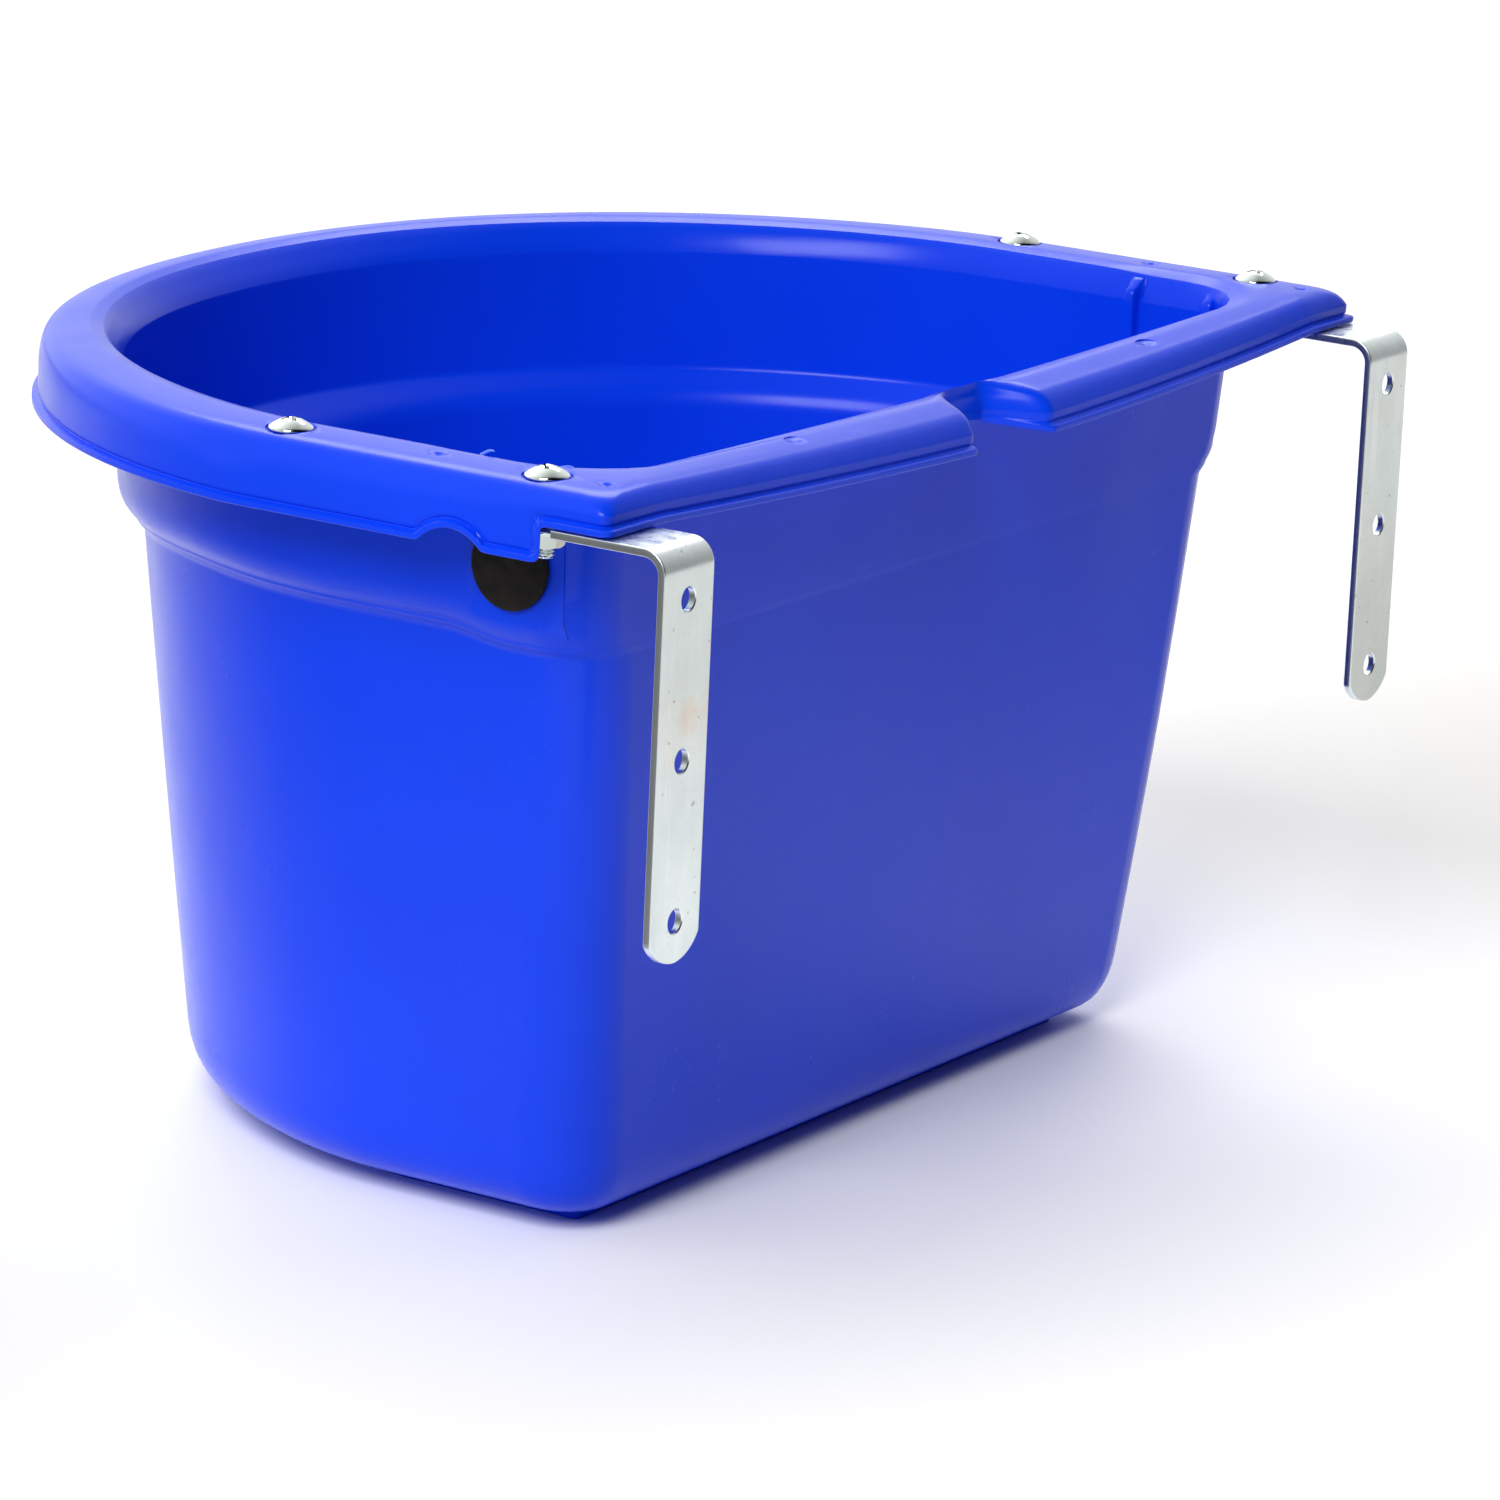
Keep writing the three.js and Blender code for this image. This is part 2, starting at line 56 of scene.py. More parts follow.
# ---- sizes taken from the frame ----
def frame_box(node):
    low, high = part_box(node)
    return low / MM, high / MM


tub_low, tub_high = frame_box("tub")
bar_low, bar_high = frame_box("right_bracket")
plug_low, plug_high = frame_box("hole_plug")
RIM_Z = tub_high.z
FRONT_REACH = 218.5  # the front bead, forward of the widest line
WIDEST_Y = tub_low.y + FRONT_REACH


def to_frame(x, y, drop):
    """Plan coordinates to metres in the frame; the three may be arrays."""
    return np.stack([x * MM, (y + WIDEST_Y) * MM, (RIM_Z - drop) * MM], axis=-1)


# ---- sizes of the rim and its skirt ----
FRONT_POWER = 2.15  # the round front is a superellipse of this power
KINK = 3.5  # how much wider the superellipse is than the straight side
Plan = namedtuple("Plan", "side back nose corner")
SKIRT = Plan(214.2, 86.2, 216.7, 3.6)  # the skirt's outer face
CHANNEL = Plan(211.5, 83.5, 214.0, 2.6)  # its inner face
SKIRT_TOP = 9.0  # just below the rim's rounded edge
BACK_SKIRT_TOP = 5.8
SIDE_DROP = 22.3  # the skirt's lower edge
BACK_DROP = 11.6
BEAD_OUT = 1.8
BEAD_WIDTH = 2.5
EDGE_ROUND = 0.7
STEP_Y = 63.8  # where the low skirt of the side ends in a tab
TAB_CORNER = 2.4
NOTCH_Y = 33.2
NOTCH_R = 13.8
NOTCH_RISE = 5.2
EDGE_SPACING = 0.25  # along the skirt's lower edge
EDGE_EASE = 0.9  # how softly its corners turn
LEAN_LENGTH = 26.0  # the columns behind the tab's end lean over this length
BACK_BEAD = 88.0
BACK_SAG = 7.6
SAG_HALF = 188.0
SAG_START = 62.0
SAG_POWERS = (1.4, 1.9)  # the sag's shape, right and left
BACK_EASE = (0.1, 0.38)  # shares of the side where the back's drops turn into the side's
FRONT_EASE = (0.15, 0.65)  # shares of the front where the band's step comes down
SCALLOP_ENDS = ((20.0, 17.0), (27.0, 13.0))  # half-length and ramp, right and left
SCALLOP_RISE = 2.0
SCALLOP_WALL = 65.0
SCALLOP_CHANNEL = 0.1
SCALLOP_SKIRT = 0.7
SCALLOP_REACH = 31.0
PLAIN_RIM = 999.0  # a place on the rim away from the scallop
COLUMN_SPACING = 5.4  # between the upright columns of points, away from features
SPACING_GROWTH = 0.25  # how fast it widens
SCALLOP_SPACING = 1.2
SIDE_SPACING = 0.98
FLOOR_CENTRE_Y = -52.0
SKIRT_ROWS = (0, 0.2, 0.45, 0.7, 1.1, 1.5, 1.8, 2.05, 2.3, 2.55, 2.8, 3.1, 3.5, 4.2, 5.2)
WALL_BLEND = 15.0  # how far the side and the front run into each other
SKIRT_BLEND = 4.0
BLEND_LENGTH = 26.0


def smooth_step(value, low, high):
    t = np.clip((value - low) / (high - low), 0, 1)
    return t * t * (3 - 2 * t)


# ---- the D outline ----
def outline(side, back, nose, corner, zone, share):
    """Points of the D. Zones: 0 flat back, 1 back corner, 2 straight side, 3 round front."""
    axis = side + KINK
    start = np.arccos((side / axis) ** (FRONT_POWER / 2))
    kink_y = -nose * np.sin(start) ** (2 / FRONT_POWER)
    corner_y = back - corner
    turn = share * math.pi / 2
    angle = start + share * (math.pi / 2 - start)
    front_x = axis * np.maximum(np.cos(angle), 0) ** (2 / FRONT_POWER)
    front_y = -nose * np.sin(angle) ** (2 / FRONT_POWER)
    zones = [zone == 0, zone == 1, zone == 2]
    flat = side - corner
    x = np.select(zones, [share * flat, flat + corner * np.sin(turn), side + 0 * share], front_x)
    y = np.select(
        zones,
        [back + 0 * share, corner_y + corner * np.cos(turn), corner_y + (kink_y - corner_y) * share],
        front_y,
    )
    return x, y


def skirt_lengths():
    """Running lengths along the skirt's outline: end of the flat back, of the corner, of the side, of all."""
    flat = SKIRT.side - SKIRT.corner
    arc = SKIRT.corner * math.pi / 2
    shares = np.linspace(0, 1, 1200)
    x, y = outline(*SKIRT, np.full(1200, 3), shares)
    front = np.concatenate([[0], np.cumsum(np.hypot(np.diff(x), np.diff(y)))])
    straight = SKIRT.back - SKIRT.corner - y[0]
    return flat, flat + arc, flat + arc + straight, flat + arc + straight + front[-1], shares, front


END_FLAT, END_CORNER, END_SIDE, END_FRONT, FRONT_SHARES, FRONT_LENGTHS = skirt_lengths()


def zone_and_share(s):
    """Where a distance s along the skirt's outline, from the middle of the back, lies on the D."""
    zone = np.searchsorted([END_FLAT, END_CORNER, END_SIDE], s, side="right")
    front = np.interp(s - END_SIDE, FRONT_LENGTHS, FRONT_SHARES)
    share = np.select(
        [zone == 0, zone == 1, zone == 2],
        [
            s / END_FLAT,
            (s - END_FLAT) / (END_CORNER - END_FLAT),
            (s - END_CORNER) / (END_SIDE - END_CORNER),
        ],
        front,
    )
    return zone, share


def side_s(y):
    """Distance along the skirt's outline of a point on its straight side."""
    return END_CORNER + SKIRT.back - SKIRT.corner - y


# ---- the rim's bow and scallop ----
def scallop(x):
    """One in the middle of the scallop, zero on the plain rim; its two ends differ."""
    right, left = (smooth_step(half - np.abs(x), 0, ramp) for half, ramp in SCALLOP_ENDS)
    return np.where(x > 0, right, left)


def scallop_on(zone, share, sign):
    """The same, for places on the D."""
    return scallop(sign * np.where(zone == 0, share * END_FLAT, PLAIN_RIM))


def backness(zone, share):
    """One along the back and round its corner, falling to zero along the side."""
    return np.where(zone == 2, 1 - smooth_step(share, *BACK_EASE), np.where(zone < 2, 1.0, 0.0))


def bowed(x, y, drop, rimness):
    """The long back rim hangs down in its middle, and is squeezed against the wall in the scallop."""
    outward = np.clip((y - SAG_START) / (BACK_BEAD - SAG_START), 0, 1)
    along = np.maximum(0, 1 - np.abs(x / SAG_HALF) ** np.where(x > 0, *SAG_POWERS))
    bow = BACK_SAG * along * (0.4 * np.minimum(outward * 4, 1) + 0.6 * outward)
    channel = np.minimum(y, CHANNEL.back) - SCALLOP_WALL
    skirt = np.maximum(y - CHANNEL.back, 0)
    squeezed = SCALLOP_WALL + channel * SCALLOP_CHANNEL + skirt * SCALLOP_SKIRT
    moved = np.where(y > SCALLOP_WALL, y + (squeezed - y) * scallop(x), y)
    return x, moved, drop + bow * rimness


# ---- the skirt's lower edge, unrolled: distance along the outline and drop ----
def edge_path(sign):
    """Lengths along the lower edge, its places and drops, and the places where its columns meet the rim."""
    step_s = side_s(STEP_Y)
    notch_s = side_s(NOTCH_Y)
    half_angle = math.acos((NOTCH_R - NOTCH_RISE) / NOTCH_R)
    chord = NOTCH_R * math.sin(half_angle)
    notch_drop = SIDE_DROP - NOTCH_RISE + NOTCH_R
    turns = np.linspace(-half_angle, half_angle, 60)
    quarter = np.linspace(math.pi, math.pi / 2, 8)
    corners = [(0, BACK_DROP), (step_s, BACK_DROP)]
    corners += [(step_s + TAB_CORNER * (1 + math.cos(a)), SIDE_DROP + TAB_CORNER * (math.sin(a) - 1))
                for a in quarter]
    corners += [(notch_s - chord, SIDE_DROP)]
    corners += [(notch_s + NOTCH_R * math.sin(a), notch_drop - NOTCH_R * math.cos(a)) for a in turns]
    corners += [(notch_s + chord, SIDE_DROP), (END_FRONT, SIDE_DROP)]
    corners = np.array(corners)
    length = np.concatenate([[0], np.cumsum(np.hypot(*np.diff(corners, axis=0).T))])
    at = np.linspace(0, length[-1], int(length[-1] / EDGE_SPACING) + 1)
    s = np.interp(at, length, corners[:, 0])
    drop = np.interp(at, length, corners[:, 1])
    reach = int(4 * EDGE_EASE / EDGE_SPACING)
    weights = np.exp(-0.5 * (np.arange(-reach, reach + 1) * EDGE_SPACING / EDGE_EASE) ** 2)
    weights /= weights.sum()
    s_padded = np.concatenate([-s[reach:0:-1], s, 2 * s[-1] - s[-2:-reach - 2:-1]])
    drop_padded = np.pad(drop, reach, mode="edge")
    s = np.convolve(s_padded, weights, mode="valid")
    drop = np.convolve(drop_padded, weights, mode="valid") - SCALLOP_RISE * scallop(sign * s)
    # The columns lean into the tab where its end stands upright, so that they never cross.
    tab_height = SIDE_DROP - BACK_DROP
    tab_end = step_s + tab_height
    lean = np.interp(at, [step_s, tab_end, tab_end + LEAN_LENGTH], [0, 0.6 * tab_height, 0])
    return at, s, drop, s + lean


def column_places(length):
    """Distances along the edge path, close together where the skirt and the wall have features."""
    fine_zones = [(0, SCALLOP_REACH, SCALLOP_SPACING), (END_FLAT - 9, side_s(14) + 22, SIDE_SPACING)]
    at = np.linspace(0, length, 4000)
    spacing = np.full(at.shape, COLUMN_SPACING)
    for low, high, fine in fine_zones:
        away = np.maximum(np.maximum(low - at, at - high), 0)
        spacing = np.minimum(spacing, fine + SPACING_GROWTH * away)
    count = np.concatenate([[0], np.cumsum(np.diff(at) / spacing[1:])])
    return np.interp(np.linspace(0, count[-1], int(round(count[-1])) + 1), count, at)


def bead_offset(distance):
    """How far the skirt stands out at a distance from its lower edge: a rounded bead, then a groove."""
    edge = np.minimum(distance, EDGE_ROUND)
    rounded = BEAD_OUT - EDGE_ROUND + np.sqrt(np.maximum(EDGE_ROUND ** 2 - (EDGE_ROUND - edge) ** 2, 0))
    shoulder = 1 - smooth_step(distance, BEAD_WIDTH - 0.7, BEAD_WIDTH)
    groove = 0.45 * np.exp(-(((distance - BEAD_WIDTH - 0.25) / 0.4) ** 2))
    return rounded * shoulder - groove


def distance_to_edge(s, drop, edge_s, edge_drop):
    out = np.empty(s.shape)
    for row in range(s.shape[0]):
        gap = np.hypot(s[row][:, None] - edge_s[None, :], drop[row][:, None] - edge_drop[None, :])
        out[row] = gap.min(axis=1)
    return out


# ---- levels ----
def level(side, back, nose, corner, drop, back_drop=None, rimness=0.0, front=0.0):
    """A D-shaped ring of the tub: how far it reaches to the side, back and front, and its back corner's radius.

    Its drop can differ at the back, and be more at the front. A rimness of one makes it follow the rim's bow.
    """
    return np.array([side, back, nose, corner, drop, drop if back_drop is None else back_drop, rimness, front])


def smooth_levels(controls):
    """Rows through a control polygon whose corners are rounded by their ease, in millimetres.

    controls: (level, ease, rows in the bend, spacing of the rows that follow).
    """
    levels = [c[0] for c in controls]
    gaps = [math.hypot(*(b[[0, 4]] - a[[0, 4]])) for a, b in zip(levels, levels[1:])]
    before = [0.0] * len(levels)
    after = [0.0] * len(levels)
    for i, gap in enumerate(gaps):
        first, second = controls[i][1], controls[i + 1][1]
        scale = min(1.0, gap / max(first + second, 1e-6))
        after[i] = first * scale
        before[i + 1] = second * scale
    rows = []
    for i, (here, ease, bend_rows, spacing) in enumerate(controls):
        start = here if i == 0 else here + (levels[i - 1] - here) * before[i] / gaps[i - 1]
        end = here if i == len(levels) - 1 else here + (levels[i + 1] - here) * after[i] / gaps[i]
        if 0 < i < len(levels) - 1 and ease > 0:
            for t in np.linspace(0, 1, bend_rows + 1):
                rows.append((1 - t) ** 2 * start + 2 * t * (1 - t) * here + t * t * end)
        else:
            rows.append(here)
        if i < len(gaps):
            clear = gaps[i] - after[i] - before[i + 1]
            if clear > 0.05:
                next_start = levels[i + 1] + (here - levels[i + 1]) * before[i + 1] / gaps[i]
                count = max(1, int(math.ceil(clear / spacing)))
                shares = list(np.linspace(0, 1, count + 1)[1:-1])
                if clear > 5:
                    shares = sorted(set(shares + [0.9 / clear, 1 - 0.9 / clear]))
                rows.extend(end + (next_start - end) * t for t in shares)
    thinned = [rows[0]]
    for row in rows[1:]:
        if np.abs(row - thinned[-1]).max() > 0.02:
            thinned.append(row)
    return thinned


INNER_LEVELS = [
    (level(118, 15.5, 119.8, 6, 232.5), 0, 0, 12),
    (level(158, 46.5, 163.8, 19, 232.5), 18, 8, 16),
    (level(168.8, 53.6, 174.2, 17, 138.5), 40, 2, 16),
    (level(177.6, 58.0, 182.4, 17, 56.2), 4.2, 7, 2),
    (level(184.7, 59.1, 191.4, 15, 48.9), 1.1, 3, 7),
    (level(185.6, 61.2, 193.6, 14, 10.0), 2.6, 3, 4),
    (level(186.6, 63.2, 198, 24, 4.5, 6.5, 1), 99, 3, 4),
    (level(189.4, 66.8, 201.3, 28, 1.1, 1.9, 1), 1.3, 3, 3),
    (level(194.2, 72.2, 204.5, 31, 0, 0, 1), 4, 3, 3),
    (level(203.0, 77.5, 208.5, 12, 0.05, 0.05, 1), 99, 5, 4),
    (level(209.8, 82.2, 213.4, 7.5, 0.8, 0.8, 1), 99, 5, 4),
    (level(213.2, 85.1, 216.4, 5.0, 3.2, 3.0, 1), 99, 6, 4),
    (level(*SKIRT, SKIRT_TOP, BACK_SKIRT_TOP, 1), 0, 0, 4),
]
OUTER_LEVELS = [
    (level(*CHANNEL, 4.4, 4.4, 1), 0, 0, 4),
    (level(210, 82, 212.5, 2.6, 3.2, 3.2, 1), 1, 2, 7),
    (level(196.4, 74.5, 207.5, 26, 3.2, 3.2, 1), 2, 2, 5),
    (level(191, 68, 202, 22, 5.4, 6.4, 1), 3, 3, 5),
    (level(188.6, 64.2, 196.5, 17, 12), 4, 3, 1.9),
    (level(187.5, 61.9, 193.9, 18, 46.8, 48.4, 0, 5.5), 5, 6, 2),
    (level(184.4, 61.5, 189.6, 19, 51.4, 54.0, 0, 5.5), 2.2, 4, 2),
    (level(183.15, 61.35, 188.3, 19, 52.5, 55.3, 0, 5.5), 0.25, 1, 1),
    (level(182.9, 61.3, 188.0, 19.2, 53.6, 56.3, 0, 5.5), 0.5, 2, 1),
    (level(180.75, 61.03, 185.6, 20, 55.8, 58.6, 0, 5.5), 0.15, 1, 1),
    (level(180.35, 61.0, 185.15, 20, 56.9, 59.5, 0, 5.5), 0.3, 2, 16),
    (level(171.8, 56.7, 177.3, 20, 140), 40, 2, 16),
    (level(161, 49.5, 166.8, 22, 235.8), 18, 9, 6),
    (level(137.5, 34.4, 139.5, 3, 235.8), 0.8, 2, 6),
    (level(137.5, 34.4, 139.5, 3, 240.8), 0.6, 2, 6),
    (level(132.5, 29.4, 134.5, 2, 240.8), 0.6, 2, 6),
    (level(132.5, 29.4, 134.5, 2, 235.8), 0.8, 2, 20),
    (level(118, 15.5, 119.8, 6, 235.8), 0, 0, 12),
]
RELIEF_DROPS = (8.0, 55.0)  # the part of the outer wall that has reliefs
POCKET_DEPTH_AT = 186.5  # the plug pocket's flat face, from the middle of the bucket
POCKET_FACE_Y = (21.7, 51.0)
POCKET_DROPS = (2.0, 52.8)
POCKET_CORNER_R = 6.0
POCKET_EASE = (-2.4, 1.0)  # its side, from the flat face to the wall
PANEL_START_Y = 54.3  # the corner panel
PANEL_LENGTH = 60.0
PANEL_DROPS = (2.0, 50.6)
PANEL_CORNER_R = 3.0
PANEL_EASE = (-2.6, 1.2)
PANEL_DEPTH = 0.7


def rounded_box(u, v, low, high, radius):
    """Signed distance to a rounded box, negative inside."""
    qx = np.maximum(low[0] - u, u - high[0]) + radius
    qy = np.maximum(low[1] - v, v - high[1]) + radius
    outside = np.hypot(np.maximum(qx, 0), np.maximum(qy, 0))
    return outside + np.minimum(np.maximum(qx, qy), 0) - radius


def wall_relief(x, y, drop, lv, zone):
    """How far the upper band's outer wall is set in: the flat pocket round the plug, and the corner panel."""
    side, back, _, corner, level_drop = lv[:5]
    if not RELIEF_DROPS[0] <= level_drop <= RELIEF_DROPS[1]:
        return np.zeros(x.shape)
    # Unrolled: u is the length from the start of the back corner, negative along the side.
    start = back - corner
    angle = np.arctan2(np.maximum(np.abs(x) - (side - corner), 0), np.maximum(y - start, 1e-9))
    on_arc = corner * (math.pi / 2 - angle)
    u = np.where(zone == 1, on_arc, np.where(zone == 0, 99.0, y - start))
    pocket = rounded_box(u, drop, (POCKET_FACE_Y[0] - start, POCKET_DROPS[0]),
                         (POCKET_FACE_Y[1] - start, POCKET_DROPS[1]), POCKET_CORNER_R)
    pocket_depth = np.maximum(side - POCKET_DEPTH_AT, 0) * (1 - smooth_step(pocket, *POCKET_EASE))
    panel = rounded_box(u, drop, (PANEL_START_Y - start, PANEL_DROPS[0]),
                        (PANEL_LENGTH, PANEL_DROPS[1]), PANEL_CORNER_R)
    fade = 1 - smooth_step(u, corner * 0.9, corner * 1.6)
    return pocket_depth + PANEL_DEPTH * (1 - smooth_step(panel, *PANEL_EASE)) * fade


def level_row(lv, zone, share, sign, relief=False):
    """One row of half the tub at a level."""
    side, back, nose, corner, level_drop, back_drop, rimness, front = lv
    x, y = outline(side, back, nose, corner, zone, share)
    frontness = np.where(zone == 3, smooth_step(share, *FRONT_EASE), 0.0)
    drop = level_drop + (back_drop - level_drop) * backness(zone, share) + front * frontness
    if relief:
        inset = wall_relief(x, y, drop, lv, zone)
        x, y = outline(side - inset, back - inset, nose - inset, np.maximum(corner - inset, 1), zone, share)
    return to_frame(*bowed(sign * x, y, drop, rimness))


def skirt_row(s, drop, plan, sign, out=0.0):
    """One row of the skirt from its unrolled places, standing out from its face."""
    zone, share = zone_and_share(np.clip(s, 0, END_FRONT))
    x, y = outline(plan.side + out, plan.back + out, plan.nose + out, plan.corner + 0 * s, zone, share)
    return eased_front(to_frame(*bowed(sign * x, y, drop, 1.0))[None], s, SKIRT_BLEND)[0]


def eased_front(rows, s, blend):
    """Blend the straight side into the round front, so that no edge shows down the wall."""
    width = blend * np.exp(-(((s - END_SIDE) / BLEND_LENGTH) ** 2)) + 1e-3
    weights = np.exp(-0.5 * ((s[:, None] - s[None, :]) / width[:, None]) ** 2) * np.gradient(s)[None, :]
    weights /= weights.sum(axis=1, keepdims=True)
    unblended = width < 1.5
    weights[unblended] = np.eye(len(s))[unblended]
    rows[:, :, :2] = np.einsum("ij,rjk->rik", weights, rows[:, :, :2])
    return rows


def half_tub(sign):
    """Rows of points over half of the tub, from the middle of its floor round to its underside."""
    at, path_s, path_drop, path_top = edge_path(sign)
    places = column_places(at[-1])
    edge_s = np.interp(places, at, path_s)
    edge_drop = np.interp(places, at, path_drop)
    top_s = np.interp(places, at, path_top)
    edge_s[0] = top_s[0] = 0
    edge_s[-1] = top_s[-1] = END_FRONT
    zone, share = zone_and_share(top_s)
    inner = smooth_levels(INNER_LEVELS)
    floor = level_row(inner[0], zone, share, sign)
    centre = to_frame(0.0, FLOOR_CENTRE_Y, inner[0][4])
    inside = [centre + (floor - centre) * k for k in (0.04, 0.2, 0.45, 0.72)]
    inside.extend(level_row(lv, zone, share, sign) for lv in inner)
    rows = list(eased_front(np.array(inside), top_s, WALL_BLEND))
    # The skirt, from its top to its lower edge.
    top_drop = SKIRT_TOP + (BACK_SKIRT_TOP - SKIRT_TOP) * backness(zone, share)
    reach = np.hypot(top_s - edge_s, edge_drop - top_drop)
    squeeze = np.minimum(1, 0.85 * reach / SKIRT_ROWS[-1]) / reach
    last = SKIRT_ROWS[-1] * squeeze
    shares = [t * squeeze for t in SKIRT_ROWS] + [last + (1 - last) * t for t in (0.3, 0.65)]
    grid_s = np.array([edge_s + (top_s - edge_s) * t for t in shares])
    grid_drop = np.array([edge_drop + (top_drop - edge_drop) * t for t in shares])
    distance = distance_to_edge(grid_s, grid_drop, path_s, path_drop)
    distance[0] = 0
    bead = bead_offset(distance) * (1 - 0.95 * scallop_on(*zone_and_share(grid_s), sign))
    for row in range(len(shares) - 1, -1, -1):
        rows.append(skirt_row(grid_s[row], grid_drop[row], SKIRT, sign, bead[row]))
    # Under the edge and up the inner face of the skirt.
    thickness = SKIRT.side - CHANNEL.side
    plain = 1 - 0.9 * scallop_on(zone, share, sign)
    rows.append(skirt_row(edge_s, edge_drop, SKIRT, sign, 0.5 * plain))
    rows.append(skirt_row(edge_s, edge_drop, SKIRT, sign, -0.6 * thickness + 0 * edge_s))
    last = 4.5 * squeeze
    for t in (0.5 * squeeze, 1.6 * squeeze, last, (last + 1) / 2):
        s, drop = edge_s + (top_s - edge_s) * t, edge_drop + (top_drop - edge_drop) * t
        rows.append(skirt_row(s, drop, CHANNEL, sign))
    # The outer wall, and the underside with its foot ring.
    outer = smooth_levels(OUTER_LEVELS)
    outside = [level_row(lv, zone, share, sign, relief=True) for lv in outer]
    under = level_row(outer[-1], zone, share, sign)
    centre = to_frame(0.0, FLOOR_CENTRE_Y, outer[-1][4])
    outside.extend(centre + (under - centre) * k for k in (0.72, 0.45, 0.2, 0.04))
    rows.extend(eased_front(np.array(outside), top_s, WALL_BLEND))
    return np.array(rows)


def mesh_object(name, points, faces):
    mesh = bpy.data.meshes.new(name)
    mesh.from_pydata([tuple(p) for p in points], [], faces)
    mesh.update()
    made = bpy.data.objects.new(name, mesh)
    bpy.context.scene.collection.objects.link(made)
    mesh.shade_smooth()
    return made


def fix_normals(made):
    bm = bmesh.new()
    bm.from_mesh(made.data)
    bmesh.ops.recalc_face_normals(bm, faces=bm.faces)
    if bm.calc_volume(signed=True) < 0:
        bmesh.ops.reverse_faces(bm, faces=bm.faces)
    bm.to_mesh(made.data)
    bm.free()


def closed_grid(rows, name, ends=None):
    """A closed skin through rows of equal length, each a ring, with its two ends gathered to a point."""
    count = len(rows[0])
    if ends is None:
        ends = [rows[0].mean(axis=0), rows[-1].mean(axis=0)]
    points = np.concatenate([rows.reshape(-1, 3), ends])
    faces = []
    for r in range(len(rows) - 1):
        for i in range(count):
            a, b = r * count + i, r * count + (i + 1) % count
            faces.append((a, a + count, b + count, b))
    first, last = len(points) - 2, len(points) - 1
    base = (len(rows) - 1) * count
    for i in range(count):
        j = (i + 1) % count
        faces.append((first, i, j))
        faces.append((last, base + j, base + i))
    made = mesh_object(name, points, faces)
    fix_normals(made)
    return made


def whole_rings():
    right, left = half_tub(1), half_tub(-1)
    return np.concatenate([right, left[:, -2:0:-1]], axis=1)


def boolean(target, cutter, operation):
    modifier = target.modifiers.new("cut", "BOOLEAN")
    modifier.operation = operation
    modifier.solver = "MANIFOLD"
    modifier.object = cutter
    with bpy.context.temp_override(object=target, active_object=target):
        bpy.ops.object.modifier_apply(modifier=modifier.name)
    bpy.data.objects.remove(cutter)


def finish_shading(made, angle):
    made.data.shade_smooth()
    made.data.set_sharp_from_angle(angle=math.radians(angle))


def lathe(name, profile, sides, place):
    """A turned closed body: profile is (radius, height) from the axis, up the outside, back to the axis."""
    turns = np.linspace(0, 2 * math.pi, sides, endpoint=False)
    rings = [np.stack([radius * np.cos(turns), radius * np.sin(turns), np.full(sides, height)], axis=-1)
             for radius, height in profile[1:-1]]
    ends = np.array([[0, 0, profile[0][1]], [0, 0, profile[-1][1]]])
    made = closed_grid(np.array(rings) * MM, name, ends * MM)
    made.data.transform(place)
    return made


def joined(name, parts):
    """Several separate bodies as one mesh."""
    bm = bmesh.new()
    for part in parts:
        bm.from_mesh(part.data)
        bpy.data.objects.remove(part)
    made = mesh_object(name, [], [])
    bm.to_mesh(made.data)
    bm.free()
    return made


# ---- tub ----
SIDES = {"right": 1, "left": -1}
ENDS = ("rear", "front")
SEAT_R = 7.4
SEAT_DEPTH = 1.2
BOSS_R = 6.3
PLUG_HOLE_R = 10.5
RIB_SPACING = 28.6
RIB_RISE = 3.5
RIB_FACE_X = 181.9
RIB_SLOPE_DROP = 6.5  # above this the rib's face runs out into the rim
RIB_SLOPE = 1.6
DIMPLES = ((200.6, 19.0, 1.5), (199.8, 76.2, 1.5), (101.0, 76.6, 1.2))  # x, y and depth


SCREWS = [(side, end) for side in SIDES for end in ENDS]


def screw_place(side, end):
    low, high = frame_box(f"{side}_{end}_screw")
    return (low.x + high.x) / 2, (low.y + high.y) / 2


def upright(x, y, z=0.0):
    return Matrix.Translation(Vector((x, y, z)) * MM)


def bosses():
    """Screw bosses under the rim's top, flared where they join it."""
    top = RIM_Z - 1.0
    bottom = bar_high.z + 0.3
    profile = [(0, bottom), (BOSS_R - 0.4, bottom), (BOSS_R, bottom + 0.4),
               (BOSS_R + 0.2, RIM_Z - 5.5), (BOSS_R + 1.2, RIM_Z - 3.6), (BOSS_R + 1.2, top), (0, top)]
    return joined("bosses", [lathe("boss", profile, 48, upright(*screw_place(*screw))) for screw in SCREWS])


def seats():
    """Counterbores and clearance holes for the four screws, with a small lead-in."""
    floor = RIM_Z - SEAT_DEPTH
    profile = [(0, bar_high.z - 2), (3.3, bar_high.z - 2), (3.3, floor - 0.3), (3.6, floor),
               (SEAT_R - 0.3, floor), (SEAT_R, floor + 0.3), (SEAT_R, RIM_Z - 0.35),
               (SEAT_R + 0.5, RIM_Z + 0.03), (SEAT_R + 0.5, RIM_Z + 5), (0, RIM_Z + 5)]
    return joined("seats", [lathe("seat", profile, 64, upright(*screw_place(*screw))) for screw in SCREWS])


